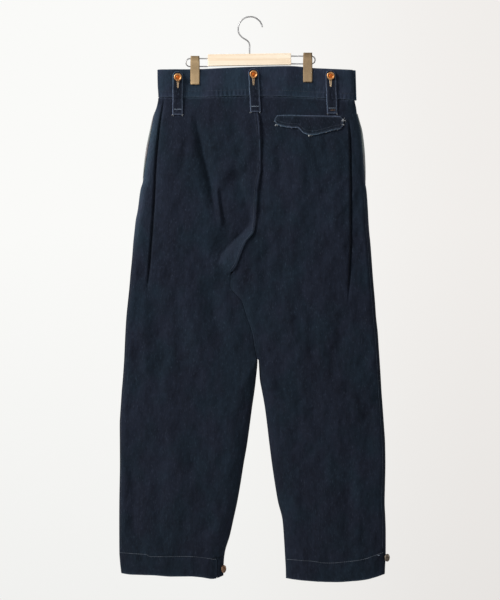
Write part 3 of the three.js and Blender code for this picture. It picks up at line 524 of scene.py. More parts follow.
def make_object(name, points, faces, material, wear=None):
    mesh = bpy.data.meshes.new(name)
    mesh.from_pydata((np.asarray(points) * MM).tolist(), [], faces)
    mesh.materials.append(material)
    mesh.polygons.foreach_set("use_smooth", [True] * len(mesh.polygons))
    # Per-point lightening, from abraded edges and from painted highlights on the back panels
    if wear is not None:
        layer = mesh.attributes.new("wear", "FLOAT", "POINT")
        layer.data.foreach_set("value", np.asarray(wear, np.float32).ravel())
    mesh.update()
    thing = bpy.data.objects.new(name, mesh)
    bpy.context.scene.collection.objects.link(thing)
    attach(thing, "root")
    return thing


def grid_normals(points, face):
    """Unit normals of a grid of points, on the side that faces out of the garment."""
    across = np.gradient(points, axis=1)
    down = np.gradient(points, axis=0)
    normal = np.cross(across, down)
    normal /= np.maximum(np.linalg.norm(normal, axis=2, keepdims=True), 1e-9)
    middle = normal[len(normal) // 2, normal.shape[1] // 2]
    return normal if middle[1] * face > 0 else -normal


def worn_edge(strength, reach, more=0):
    """Lightening that fades inward from the abraded edges of a cloth, added to any other lightening, which
    on the back panels holds painted highlights.
    """
    return lambda inside: strength * np.exp(-inside / reach) + more


def inset_place(line, inset, from_end):
    """The place along a line of points that lies a distance in from its start or end."""
    run = run_along(line)
    return np.interp(run[-1] - inset if from_end else inset, run, np.arange(len(run)))


class Cloth:
    """A slab of cloth on a grid of outer points, whose faces draw together at its edges."""

    def __init__(self, name, outer, wall, face, material, edge=None, wear=None):
        self.normal = grid_normals(outer, face)
        rows, columns = outer.shape[:2]
        across, down = run_along(outer, 1), run_along(outer)
        inside = np.minimum.reduce([across, across[:, -1:] - across, down, down[-1:] - down])
        half = self.normal * (wall / 2 * round_edge(inside / (edge or wall / 2)))[..., None]
        middle = outer - self.normal * wall / 2
        self.top = middle + half
        wears = (np.zeros((rows, columns)) if wear is None else wear(inside)).ravel()

        index = np.arange(rows * columns).reshape(rows, columns)
        below = index.copy()
        below[1:-1, 1:-1] += rows * columns
        faces = np.vstack([self._quads(index), self._quads(below)[:, ::-1]])
        across, down = outer[rows // 2, columns // 2 + 1], outer[rows // 2 + 1, columns // 2]
        here = outer[rows // 2, columns // 2]
        if np.dot(np.cross(across - here, down - here), self.normal[rows // 2, columns // 2]) < 0:
            faces = faces[:, ::-1]
        points = np.vstack([self.top.reshape(-1, 3), (middle - half).reshape(-1, 3)])
        used = np.unique(faces)
        renumber = np.zeros(len(points), int)
        renumber[used] = np.arange(len(used))
        self.thing = make_object(name, points[used], renumber[faces].tolist(), material,
                                 wear=np.r_[wears, wears][used])

    @staticmethod
    def _quads(grid):
        """The four corners of every cell of a grid of numbers."""
        corners = grid[:-1, :-1], grid[:-1, 1:], grid[1:, 1:], grid[1:, :-1]
        return np.stack([corner.ravel() for corner in corners], 1)

    def at(self, u, v):
        """Points and normals of the outer face at grid places, in columns u and rows v."""
        u = np.clip(u, 0, self.top.shape[1] - 1.001)
        v = np.clip(v, 0, self.top.shape[0] - 1.001)
        c, r = np.floor(u).astype(int), np.floor(v).astype(int)
        du, dv = (u - c)[:, None], (v - r)[:, None]

        def blend(grid):
            upper = mix(grid[r, c], grid[r, c + 1], du)
            return mix(upper, mix(grid[r + 1, c], grid[r + 1, c + 1], du), dv)

        return blend(self.top), blend(self.normal)

    def down_line(self, inset, from_end=False, rows=(0, 1), count=200):
        """Points and normals down the cloth, a distance in from one side."""
        v = np.linspace(*rows, count) * (self.top.shape[0] - 1)
        return self.at(np.array([inset_place(self.top[int(round(k))], inset, from_end) for k in v]), v)

    def across_line(self, inset, from_end=False, columns=(0, 1), count=200):
        """Points and normals across the cloth, a distance in from its top or foot."""
        u = np.linspace(*columns, count) * (self.top.shape[1] - 1)
        return self.at(u, np.array([inset_place(self.top[:, int(round(k))], inset, from_end) for k in u]))


# Materials
class Look:
    """Builds a material out of nodes, one small step at a time."""

    def __init__(self, owner, out="Material", shader="BsdfPrincipled"):
        owner.use_nodes = True
        self.material = owner
        self.tree = owner.node_tree
        self.tree.nodes.clear()
        self.out = self.tree.nodes.new(f"ShaderNodeOutput{out}").inputs["Surface"]
        self.shader = self.tree.nodes.new(f"ShaderNode{shader}")
        self.feed(self.out, self.shader.outputs[0])
        self.places = self.tree.nodes.new("ShaderNodeTexCoord").outputs

    def feed(self, socket, value):
        """Sets a socket to a value or joins it to another node's output."""
        if isinstance(value, tuple):
            socket.default_value = (*value, 1) if socket.type == "RGBA" else value
        elif isinstance(value, (int, float)):
            socket.default_value = value
        else:
            self.tree.links.new(value, socket)

    def node(self, kind, inputs, output, **settings):
        """A new node's output."""
        node = self.tree.nodes.new(f"ShaderNode{kind}")
        for name, value in settings.items():
            setattr(node, name, value)
        for name, value in inputs.items():
            self.feed(node.inputs[name], value)
        return node.outputs[output]

    def set(self, **values):
        names = {"base": "Base Color", "rough": "Roughness", "metal": "Metallic", "normal": "Normal",
                 "specular": "Specular IOR Level", "sheen": "Sheen Weight", "sheen_rough": "Sheen Roughness"}
        for key, value in values.items():
            self.feed(self.shader.inputs[names[key]], value)
        return self.material

    def mapped(self, scale, turn=(0, 0, 0)):
        place = {"Scale": scale, "Rotation": turn, "Vector": self.places["Object"]}
        return self.node("Mapping", place, "Vector")

    def noise(self, scale, detail=3, rough=0.55):
        inputs = {"Scale": 1, "Detail": detail, "Roughness": rough, "Vector": self.mapped(scale)}
        return self.node("TexNoise", inputs, "Fac")

    def bands(self, size, degrees):
        place = self.mapped((1, 1, 1), (0, math.radians(degrees), 0))
        return self.node("TexWave", {"Scale": size, "Distortion": 1.5, "Detail": 1, "Vector": place}, "Fac")

    def fit(self, value, low, high, to_low=0.0, to_high=1.0, kind="LINEAR"):
        ends = {"From Min": low, "From Max": high, "To Min": to_low, "To Max": to_high}
        return self.node("MapRange", {"Value": value, **ends}, "Result", interpolation_type=kind)

    def math(self, kind, a, b):
        return self.node("Math", {0: a, 1: b}, "Value", operation=kind)

    def blend(self, share, a, b, kind="MIX"):
        return self.node("Mix", {"Factor": share, 6: a, 7: b}, 2, data_type="RGBA", blend_type=kind)

    def shaded(self, colour, tone):
        """A colour times a tone from 0, black, to 1."""
        grey = self.blend(tone, (0.0, 0.0, 0.0), (1.0, 1.0, 1.0))
        return self.blend(1.0, colour, grey, "MULTIPLY")

    def part(self, place, axis):
        return self.node("SeparateXYZ", {"Vector": self.places[place]}, axis)

    def bump(self, value, strength, distance):
        return self.node("Bump", {"Strength": strength, "Distance": distance, "Height": value}, "Normal")


def new_look(name):
    return Look(bpy.data.materials.new(name))


def rgb(*values):
    """Linear colour of an 8-bit screen colour."""
    return tuple((v / 255 / 12.92) if v <= 10 else ((v / 255 + 0.055) / 1.055) ** 2.4 for v in values)


def denim(name, dark, light, lighter):
    look = new_look(name)
    yarn = look.noise((900, 900, 60), detail=2)
    streak = look.noise((210, 210, 8))
    slub = look.noise((700, 700, 160), detail=2, rough=0.4)
    mottle = look.noise((16, 16, 9), detail=4)
    tone = look.math("ADD", look.fit(yarn, 0.3, 0.7, 0, 0.34), look.fit(streak, 0.35, 0.65, 0, 0.16))
    tone = look.math("ADD", tone, look.fit(mottle, 0.34, 0.66, 0, 0.24))
    tone = look.math("ADD", tone, look.fit(look.noise((45, 45, 30)), 0.34, 0.66, 0, 0.2))
    tone = look.math("ADD", tone, look.fit(look.noise((170, 170, 110)), 0.34, 0.66, -0.06, 0.2))
    cloth = look.blend(tone, dark, light)
    cloth = look.blend(look.fit(slub, 0.6, 0.8, 0, 0.2), cloth, lighter)
    # The attribute read here lightens the cloth: abraded edges, and painted highlights beside the back's
    # middle seam and on its right outseam
    wear = look.node("Attribute", {}, "Fac", attribute_name="wear")
    frayed_and_highlight = look.math("MULTIPLY", wear, look.fit(yarn, 0.32, 0.62, 0.35, 1))
    cloth = look.blend(frayed_and_highlight, cloth, lighter)
    hue = look.fit(look.noise((16, 16, 12), detail=2), 0.4, 0.6)
    cloth = look.blend(1.0, cloth, look.blend(hue, (1.09, 0.96, 1.02), (0.91, 1.03, 1.02)), "MULTIPLY")
    # Painted light: lighter towards the top and darker towards the hems, partly the cloth's own fade and
    # partly light falling from above
    cloth = look.shaded(cloth, look.fit(look.part("Object", "Z"), -1.15, -0.2, 0.86, 1.08))
    twill = look.bands(255, 28)
    weave = look.math("ADD", look.math("MULTIPLY", twill, 0.55), look.math("MULTIPLY", yarn, 0.9))
    relief = look.bump(weave, 0.5, 0.00035)
    return look.set(base=cloth, normal=relief, rough=0.9, specular=0.1, sheen=0.02, sheen_rough=0.5)


INDIGO = denim("indigo_denim", rgb(14, 19, 28), rgb(28, 37, 50), rgb(82, 98, 118))
BAND_DENIM = denim("waistband_denim", rgb(22, 29, 40), rgb(40, 51, 66), rgb(84, 106, 130))
TRIM_DENIM = denim("trim_denim", rgb(12, 17, 25), rgb(25, 33, 45), rgb(108, 128, 152))
# The pocket cloth is pale, and painted lighter still as a highlight, so that its edge lying in shade still
# shows light
POCKET_EDGE_PAINTED_LIGHT = denim("pocket_edge_cloth_painted_light", rgb(130, 130, 132), rgb(170, 170, 170), rgb(186, 184, 180))


def thread(name, low, high, rough=0.7):
    look = new_look(name)
    relief = look.bump(look.bands(420, 40), 0.4, 0.0002)
    uneven = look.fit(look.noise((60, 60, 60), detail=2), 0.35, 0.65)
    return look.set(base=look.blend(uneven, low, high), normal=relief, rough=rough, specular=0.3, sheen=0.1)


NAVY_THREAD = thread("navy_thread", rgb(30, 38, 50), rgb(52, 62, 78))
HEM_THREAD = thread("hem_thread", rgb(62, 70, 82), rgb(92, 100, 112))
PALE_THREAD = thread("pale_blue_thread", rgb(74, 86, 102), rgb(112, 124, 140))
TAN_THREAD = thread("tan_thread", rgb(150, 122, 92), rgb(206, 182, 150))
FRAY = thread("frayed_yarn", rgb(150, 156, 164), rgb(214, 216, 216), 0.9)
BROWN_THREAD = thread("brown_thread", rgb(84, 62, 48), rgb(128, 96, 70))


def metal(name, dark, light, rough, scale=(40, 40, 40), metallic=1.0, shade=None):
    look = new_look(name)
    spots = look.noise(scale, detail=5, rough=0.6)
    coat = look.blend(look.fit(spots, 0.35, 0.65), dark, light)
    # Painted shade: the coat is made darker towards one end along Z
    if shade:
        top, foot, at_top, at_foot = shade
        coat = look.shaded(coat, look.fit(look.part("Object", "Z"), foot, top, at_foot, at_top))
    rough = look.fit(spots, 0.3, 0.7, rough - 0.08, rough + 0.14)
    relief = look.bump(look.noise((900, 900, 900), detail=2), 0.12, 0.0001)
    return look.set(base=coat, normal=relief, rough=rough, metal=metallic)


# Top and foot of the painted shade on the left clip, in metres, and its tone at each: darker towards the top
CLIP_SHADE = (-0.07, -0.13, 0.84, 1.0)
COPPER = metal("worn_copper", rgb(168, 112, 66), rgb(222, 172, 118), 0.36, (300, 300, 300))
COPPER_DARK = metal("dark_copper", rgb(150, 72, 26), rgb(206, 112, 48), 0.45, (300, 300, 300))
# Hem buttons' copper: copies painted darker as shade where the buttons face away from the light, the right
# one greyer too
SHADED_COPPER_HEM_LEFT = metal("shaded_copper_hem_left", rgb(84, 52, 34), rgb(168, 136, 112), 0.42, (300, 300, 300))
SHADED_COPPER_HEM_RIGHT = metal("shaded_grey_copper_hem_right", rgb(70, 60, 52), rgb(150, 138, 125), 0.42, (300, 300, 300))
STEEL = metal("brushed_wire", rgb(150, 150, 152), rgb(196, 196, 198), 0.42, (20, 20, 300))
BRUSHED = {"rough": 0.55, "scale": (90, 90, 30), "metallic": 0.35}
BRASS_LEFT = metal("brass_clip_left", rgb(166, 142, 107), rgb(184, 158, 120), shade=CLIP_SHADE, **BRUSHED)
# The right clip's brass is a darker copy of the left's: painted shade
SHADED_BRASS_RIGHT = metal("shaded_brass_clip_right", rgb(144, 121, 92), rgb(160, 136, 104), **BRUSHED)


def wood(name):
    look = new_look(name)
    grain = look.noise((9, 60, 420), detail=4, rough=0.5)
    rings = look.fit(look.noise((3, 30, 90), detail=2), 0.35, 0.65)
    base = look.blend(rings, rgb(238, 214, 184), rgb(252, 236, 214))
    base = look.blend(look.fit(grain, 0.52, 0.7, 0, 0.15), base, rgb(222, 190, 156))
    return look.set(base=base, normal=look.bump(grain, 0.25, 0.0003), rough=0.5, specular=0.4)


WOOD = wood("pale_wood")


# Panels
def back_lightening_and_highlights(half, from_out, from_inner, z):
    """Lightening of a back panel along its outseam, and painted highlights beside the middle seam."""
    # Lighter along the outseam; at the right's narrow edge this is a painted highlight where that edge lies
    # in shade
    lighter = smooth((-165 - z) / 30) * smooth((z + 500) / 90)
    lighter *= 0.5 * np.exp(-from_out / (8 if half == "left" else 3))
    if half == "left":
        # Painted highlights on the left side's raised face beside the seam and along its lapping edge
        lighter += 0.07 * smooth(seam_line["left"](z) / 5) * smooth((seam_line["wide"](z) - from_inner) / 4)
        beside = 0.08 * np.exp(-(((from_inner - 6) / 5) ** 2))
        return lighter + beside * smooth((-160 - z) / 40) * smooth((z + 510) / 30)
    # Painted highlight along the right side's lapping edge below the crotch
    beside = 0.11 * np.exp(-(((from_inner - 5) / 6) ** 2))
    return lighter + beside * smooth((-505 - z) / 30) * smooth((z + 680) / 60)


def panel_grid(half, face, share, z):
    """Outer points of a panel, and their distances from the outseam and from the inner edge."""
    out, inner = section[f"{half}Out"](z), inner_line(half, face, z) - TOWARD[half] * GAP / 2
    x = mix(out, inner, share)
    from_inner = np.abs(inner - x)
    lap = overlap(half, from_inner, z) if face < 0 else 0
    y = face * (GAP / 2 + panel_depth(half, face, share, z))
    return np.stack([x + lap, y, real_height(half, x, z)], 2), np.abs(x - out), from_inner


def panel(name, half, face, rows, columns, vented=False):
    levels = mix(BAND_FOOT, HEM_FOOT, spaced(rows, 0.03, 0.05))
    if vented:
        levels = np.sort(np.r_[levels, VENT_TOP + 0.12, VENT_TOP - 0.12])[::-1]
    z = np.repeat(levels[:, None], columns + 1, 1)
    last = np.where(levels > VENT_TOP, 1, VENT_SHARE if vented else 1)
    out, inner = section[f"{half}Out"](z), inner_line(half, face, z) - TOWARD[half] * GAP / 2
    crease = ((crease_x[half](z) - out) / (inner - out))[:, :1]
    beside, within = spaced(columns // 4, 0.2, 0.1), spaced(columns - columns // 4, 0.04, 0.05)[1:]
    share = np.hstack([crease * beside, mix(crease, 1, within[None, :])]) * last[:, None]
    outer, from_out, from_inner = panel_grid(half, face, share, z)
    # Painted highlights beside the back's seams, added to the edge lightening
    back_lightening = back_lightening_and_highlights(half, from_out, from_inner, z) if face < 0 else 0
    return Cloth(name, outer, CLOTH, face, INDIGO, wear=worn_edge(0.45, 1.3, back_lightening))


VENT_SHARE = 1 - VENT_WIDTH / (section["leftIn"](HEM_FOOT) - section["leftOut"](HEM_FOOT))
VENT_TOP = HEM_FOOT + VENT_HEIGHT

BACK_GRID = (330, 140)
FRONT_GRID = (230, 76)
VENT_GRID = (34, 18)

back_left = panel("seat_and_leg_back_left", "left", -1, *BACK_GRID, vented=True)
back_right = panel("seat_and_leg_back_right", "right", -1, *BACK_GRID)
front_left = panel("leg_front_left", "left", 1, *FRONT_GRID)
front_right = panel("leg_front_right", "right", 1, *FRONT_GRID)

vent_z, vent_share = np.meshgrid(mix(VENT_TOP - GAP, HEM_FOOT, np.linspace(0, 1, VENT_GRID[0])),
                                 mix(VENT_SHARE + 0.006, 1, np.linspace(0, 1, VENT_GRID[1])), indexing="ij")
vent = Cloth("hem_vent_strip", panel_grid("left", -1, vent_share, vent_z)[0], CLOTH, -1, INDIGO)

# Waistband
OVERLAP_START = -34
OVERLAP_END = 28


def waistband(name, face, start, end, columns, lift):
    rows = 30
    share = spaced(rows, 0.12, 0.12)[:, None] + np.zeros((1, columns + 1))
    z = mix(BAND_TOP, BAND_FOOT, share)
    low = section["leftOut"](z) if start is None else start + 0 * z
    high = section["rightOut"](z) + FRONT_EXTRA * (face > 0) if end is None else end + 0 * z
    x = mix(low, high, spaced(columns, 0.05, 0.05)[None, :])
    y = face * (GAP / 2 + band_depth(face, x, share) + lift(x))
    outer = np.stack([x, y, mix(band_top(x), band_foot(x), share)], 2)
    return Cloth(name, outer, BAND_WALL, face, BAND_DENIM, edge=1.4, wear=worn_edge(0.5, 1.1))


def overlap_lift(x):
    return (BAND_WALL + GAP) * smooth((x - OVERLAP_START) / 16)


band_back = waistband("waistband_behind", -1, None, None, 280, lambda x: 0)
band_front_left = waistband("waistband_over", 1, None, OVERLAP_END, 150, overlap_lift)
band_front_right = waistband("waistband_under", 1, OVERLAP_START + 18, None, 150, lambda x: 0)


def laid_on(name, face, x, z, lift, material, **more):
    """A trim that follows the cloth under it and stands clear of it."""
    outer = np.stack([x, face * (highest(face, x, z, 1.6) + GAP + lift + TRIM_WALL), z], 2)
    return Cloth(name, outer, TRIM_WALL, face, material, **more)


# Belt loops
HEAD = LOOP_WIDTH / 2


def belt_loop(name):
    loop = dict(zip(LOOP_COLUMNS, LOOPS[name]))
    down = mix(0.3, LOOP_LENGTH, spaced(74, 0.12, 0.05))[:, None]
    middle = mix(loop["top"], loop["foot"], down / LOOP_LENGTH)
    half = np.where(down < HEAD, np.sqrt(np.maximum(HEAD**2 - (HEAD - down) ** 2, 0)), HEAD)
    across = 2 * spaced(26, 0.12, 0.12)[None, :] - 1
    ragged = 0.25 * np.sin(down / 5.3 + loop["top"]) * np.sign(across) * (np.abs(across) > 0.999)
    x = middle + across * half + ragged
    z = loop["head"] - down + 0 * across
    ridges = 0.5 * np.exp(-(((np.abs(across) * half - (HEAD - 4)) / 1.6) ** 2))
    lift = 1.6 * np.sin(math.pi * down / LOOP_LENGTH) - 0.35 * ridges
    return laid_on(f"{name}_strip", loop["face"], x, z, lift, TRIM_DENIM, wear=worn_edge(0.95, 1), edge=1.0)


loops = {name: belt_loop(name) for name in LOOPS}


# Pocket flap
def pocket_flap():
    rows = np.array(FLAP, float)
    shape_x = mix(rows[0, 0], rows[-1, 0], spaced(110, 0.04, 0.04))
    top = np.interp(shape_x, rows[:, 0], rows[:, 1])
    foot = np.interp(shape_x, rows[:, 0], rows[:, 2])
    share = spaced(34, 0.1, 0.1)[:, None]
    x = shape_x[None, :] + 0 * share
    z = mix(top[None, :], foot[None, :], share)
    z += 0.35 * np.sin(x / 2.3) * np.sin(x / 5.9) * smooth((share - 0.93) / 0.07)
    lift = 0.9 * share - 0.5 * np.exp(-(((x - 108) / 3) ** 2)) * share
    return laid_on("back_pocket_flap", -1, x, z, lift, TRIM_DENIM, wear=worn_edge(1, 1.1), edge=1.0)


flap = pocket_flap()


# Fly placket
FLY_LENGTH = 172
FLY_WIDTH = 38


def fly_placket():
    drop = mix(0, FLY_LENGTH, spaced(80, 0.05, 0.05))[:, None]
    z = band_foot(section["front"](BAND_FOOT)) - 1 - drop
    curved = FLY_WIDTH * np.sqrt(1 - smooth((drop - 112) / 62) * 0.8)
    inner = section["front"](z) + 5
    x = mix(inner - curved, inner, spaced(30, 0.1, 0.1)[None, :])
    return laid_on("fly_cover", 1, x, z + 0 * x, 0, INDIGO)


fly = fly_placket()


# Edges of the side pockets, from beyond the outseams to under them: their top and foot
SIDE_POCKETS = {"left": (-188, -327), "right": (-192, -332)}
POCKET_REACH = (-4.4, 9)


def pocket_edge(half):
    toward = TOWARD[half]
    t = np.linspace(0, 1, 70)[:, None]
    aside = mix(*POCKET_REACH, spaced(22, 0.15, 0.1))[None, :]
    z = mix(*SIDE_POCKETS[half], t) + 0 * aside
    ends = 0.12 + 0.88 * np.sin(math.pi * np.clip(t, 0.02, 0.98)) ** 0.7
    x = section[f"{half}Out"](z) + toward * np.where(aside < 0, aside * ends, aside)
    near = np.maximum(level(1, x, z), level(1, x + toward * 1.5, z))
    outer = np.stack([x, GAP + 0.4 + near + EDGE_WALL, z], 2)
    return Cloth(f"side_pocket_lip_{half}", outer, EDGE_WALL, 1, POCKET_EDGE_PAINTED_LIGHT)


pocket_edges = {half: pocket_edge(half) for half in SIDE_POCKETS}


# Threads
def tube_mesh(points, radius, sides=6):
    """Rings and faces of a round tube along points, with its own radius at each."""
    p = np.asarray(points, float)
    r = np.broadcast_to(radius, (len(p),))
    ahead = np.gradient(p, axis=0)
    ahead /= np.maximum(np.linalg.norm(ahead, axis=1, keepdims=True), 1e-9)
    side = np.cross(ahead[0], [0.31, 0.87, 0.39])
    rings = []
    for i in range(len(p)):
        side = side - ahead[i] * np.dot(side, ahead[i])
        side /= np.linalg.norm(side)
        other = np.cross(ahead[i], side)
        angles = np.linspace(0, 2 * math.pi, sides, endpoint=False)[:, None]
        rings.append(p[i] + r[i] * (np.cos(angles) * side + np.sin(angles) * other))
    points = np.vstack(rings)
    faces = []
    for i in range(len(p) - 1):
        for k in range(sides):
            a, b = i * sides + k, i * sides + (k + 1) % sides
            faces.append([a, b, b + sides, a + sides])
    faces.append(list(range(sides))[::-1])
    faces.append([(len(p) - 1) * sides + k for k in range(sides)])
    return points, faces


class Joined:
    """Collects many small meshes into one piece."""

    def __init__(self):
        self.points, self.faces, self.count = [], [], 0

    def add(self, points, faces):
        self.points.append(points)
        self.faces += [[v + self.count for v in face] for face in faces]
        self.count += len(points)

    def make(self, name, material):
        return make_object(name, np.vstack(self.points), self.faces, material)


STITCH_SHARES = np.array([0, 0.12, 0.5, 0.88, 1])
STITCH_RADII = np.array([0.45, 0.95, 1, 0.95, 0.45])
STITCH_RISE = np.array([-0.5, 0.25, 0.55, 0.25, -0.5])


def stitch(joined, start, end, normal, radius):
    line = start + (end - start) * STITCH_SHARES[:, None] + normal * (STITCH_RISE[:, None] * radius)
    joined.add(*tube_mesh(line, STITCH_RADII * radius))


def sew(joined, points, normals, length=3.0, gap=0.7, radius=0.34):
    """A row of stitches along a line on the cloth."""
    run = run_along(points)
    count = int(run[-1] / (length + gap))
    for i in range(count):
        at = (np.array([0, length]) + i * (length + gap)) + gap / 2
        ends = [np.array([np.interp(s, run, points[:, k]) for k in range(3)]) for s in at]
        normal = np.array([np.interp(at.mean(), run, normals[:, k]) for k in range(3)])
        normal /= np.linalg.norm(normal)
        stitch(joined, *ends, normal, radius)


def on_cloth(face, x, z):
    """Points and normals of the garment's own surface."""
    x, z = np.asarray(x, float), np.asarray(z, float)
    y = level(face, x, z)
    slope_x = (level(face, x + 0.6, z) - level(face, x - 0.6, z)) / 1.2
    slope_z = (level(face, x, z + 0.6) - level(face, x, z - 0.6)) / 1.2
    normal = np.stack([-slope_x, face + 0 * x, -slope_z], 1)
    normal /= np.linalg.norm(normal, axis=1, keepdims=True)
    return np.stack([x, face * y, z], 1), normal


def dense(points, count=160):
    """Evenly spaced points along a given line."""
    line = through_points(points, max(count, len(points) * 6))
    run = run_along(line)
    at = np.linspace(0, run[-1], count)
    return np.interp(at, run, line[:, 0]), np.interp(at, run, line[:, 1])


# Hem stitches of each leg, in x and z
HEM_STITCHES = (
    ((-259, -1066), (-208, -1069), (-194, -1073), (-116, -1073), (-67, -1079)),
    ((73, -1079), (122, -1082), (153, -1086), (193, -1083), (224, -1079), (255, -1069), (267, -1065)),
)
hem_thread = Joined()
for line in HEM_STITCHES:
    for face in (-1, 1):
        sew(hem_thread, *on_cloth(face, *dense(line, 260)), length=3.1, radius=0.42)

# Stitch rows of the seams: from and to in z, and distances from the edges
OUTSEAM_RUN = (-350, -1060)
SEAT_RUN = (-176, -505)
BAND_ROWS = ((2.2, False), (2.0, True), (13, True))
FLAP_ROWS = ((3, True), (9, True), (3, False))
seam_thread = Joined()
for face in (-1, 1):
    for half, inset in (("left", 4.5), ("right", 7)):
        z = np.linspace(*OUTSEAM_RUN, 420)
        sew(seam_thread, *on_cloth(face, section[f"{half}Out"](z) + TOWARD[half] * inset, z))
z = np.linspace(*SEAT_RUN, 260)
for inset in (-2.2, -7.5):
    place, normal = on_cloth(-1, section["leftIn"](z) + inset, z)
    sew(seam_thread, place + normal * 0.3, normal)
for piece in (band_back, band_front_left, band_front_right):
    for inset, low in BAND_ROWS:
        sew(seam_thread, *piece.across_line(inset, low, (0.004, 0.996), 420))
for inset, low in FLAP_ROWS:
    sew(seam_thread, *flap.across_line(inset, low, (0.03, 0.97), 260), radius=0.36)
for side in (False, True):
    sew(seam_thread, *flap.down_line(3, side, (0.15, 0.85), 60), radius=0.36)
for inset in (3, 9):
    sew(seam_thread, *fly.down_line(inset, False, (0.02, 0.97), 200))
for piece in loops.values():
    for side in (False, True):
        sew(seam_thread, *piece.down_line(2.6, side, (0.16, 0.985), 120))

bar_tacks = Joined()


def bar_tack(joined, place, normal, across, width, height, count, radius=0.3):
    """Close zigzag stitches that hold a trim down."""
    up = np.cross(across, normal)
    for i in range(count):
        middle = place + across * width * (i / (count - 1) - 0.5)
        tilt = across * (0.35 if i % 2 else -0.35)
        stitch(joined, middle - up * height / 2 - tilt, middle + up * height / 2 + tilt, normal, radius)


def loop_tack(name, down, joined, width=15, height=2.0):
    piece = loops[name]
    middle = piece.top[:, LOOP_MIDDLE]
    row = np.interp(down, np.linalg.norm(middle - middle[0], axis=1), np.arange(len(middle)))
    (place,), (normal,) = piece.at(np.array([float(LOOP_MIDDLE)]), np.array([row]))
    bar_tack(joined, place, normal, np.array([1.0, 0, 0]), width, height, 26)


TACK_DOWN = 76
BROWN_DOWN = 80
HEM_TACK = ((254.0,), (-1071.0,))
for name in LOOPS:
    loop_tack(name, TACK_DOWN, bar_tacks)
brown_tack = Joined()
loop_tack("back_loop_right", BROWN_DOWN, brown_tack, 12, 1.6)
(tack_place,), (tack_normal,) = on_cloth(-1, *HEM_TACK)
bar_tack(bar_tacks, tack_place, tack_normal, np.array([1.0, 0, 0]), 7, 2.2, 12)


# Buttonholes: a tail of close stitches below each shank button
hole_thread = Joined()
HOLE_STITCHES = 22
HOLE_TAIL = 15


def buttonhole(piece, x, z):
    grid = piece.top
    for share in np.arange(HOLE_STITCHES) / (HOLE_STITCHES - 1):
        at_z = z - 6 - HOLE_TAIL * share
        width = mix(3.1, 1.2, share)
        flat = (grid[..., 0] - x) ** 2 + (grid[..., 2] - at_z) ** 2
        r, c = np.unravel_index(np.argmin(flat), flat.shape)
        normal = piece.normal[r, c]
        base = np.array([x, grid[r, c, 1], at_z])
        for side in (-1, 1):
            start = base + np.array([side * 0.25, 0, 0.3])
            end = base + np.array([side * width, 0, -0.35])
            stitch(hole_thread, start, end, normal, 0.36)


# Shank buttons
STEM_RADIUS = 2.6
BUTTON_CAP = ((6.8, 0), (7.4, 0.25), (7.8, 0.8), (7.9, 1.4), (7.8, 2.0), (7.3, 2.5), (6.7, 2.72), (6.0, 2.7),
              (5.3, 2.45), (4.8, 2.0), (4.5, 1.7))
BUTTON_DISH = ((4.5, 1.7), (4.0, 1.55), (3.2, 1.5), (2.6, 1.7), (2.0, 1.95), (1.4, 2.0), (0.8, 1.9),
               (0, 1.85))


def lathe(profile, place, axis, segments=40):
    """A turned form about an axis from a profile of radius and height."""
    axis = np.asarray(axis, float) / np.linalg.norm(axis)
    side = np.cross(axis, [0, 0, 1.0])
    side /= np.linalg.norm(side)
    other = np.cross(axis, side)
    points, faces, rows = [], [], []
    for radius, height in profile:
        if radius < 1e-6:
            rows.append([len(points)])
            points.append(place + axis * height)
            continue
        rows.append(list(range(len(points), len(points) + segments)))
        for k in range(segments):
            angle = 2 * math.pi * k / segments
            outward = math.cos(angle) * side + math.sin(angle) * other
            points.append(place + axis * height + radius * outward)
    for low, high in zip(rows, rows[1:]):
        for k in range(segments):
            n = (k + 1) % segments
            corners = [low[k % len(low)], low[n % len(low)], high[n % len(high)], high[k % len(high)]]
            face = list(dict.fromkeys(corners))
            if len(face) > 2:
                faces.append(face)
    return np.array(points), faces


def shank_button(name, place, axis, stem, rim_look=COPPER, dish_look=COPPER_DARK):
    cap = [(0, 0), (STEM_RADIUS, 0), (STEM_RADIUS, stem), *((r, h + stem) for r, h in BUTTON_CAP)]
    points, faces = lathe(cap, place, axis)
    ring = make_object(f"{name}_ring", points, faces, rim_look)
    points, faces = lathe([(r, h + stem) for r, h in BUTTON_DISH], place, axis)
    dish = make_object(f"{name}_dish", points, faces, dish_look)
    return ring, dish


LOOP_STEM = 1.2
HEM_STEM = 3.6
buttons = {}


def straight_button(name):
    low, high = (np.array(corner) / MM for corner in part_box(name))
    face = 1 if low[1] + high[1] > 0 else -1
    base = low[1] if face > 0 else high[1]
    place = np.array([(low[0] + high[0]) / 2, base, (low[2] + high[2]) / 2])
    buttons[name] = shank_button(name.replace("_button", "_shank"), place, (0, face, 0), LOOP_STEM)
    return place


for name, piece in loops.items():
    place = straight_button(f"{name}_button")
    buttonhole(piece, place[0], place[2])
straight_button("waist_button")


# Hem buttons: their place, the degrees they are turned outward, how far they stand off, and their copper,
# painted darker as shade
for side, x, z, turned, lift, look in (
    ("left", -57.5, -1098, 58, 1.5, SHADED_COPPER_HEM_LEFT),
    ("right", 268.8, -1076, 52, 0.6, SHADED_COPPER_HEM_RIGHT),
):
    angle = math.radians(turned)
    axis = np.array([math.sin(angle), -math.cos(angle), 0])
    place = np.array([x, -float(level(-1, x, z)), z]) + axis * lift
    buttons[f"hem_button_{side}"] = shank_button(f"hem_shank_{side}", place, axis, HEM_STEM, look, look)


# Fraying yarns
fray = Joined()
yarn_random = np.random.RandomState(11)


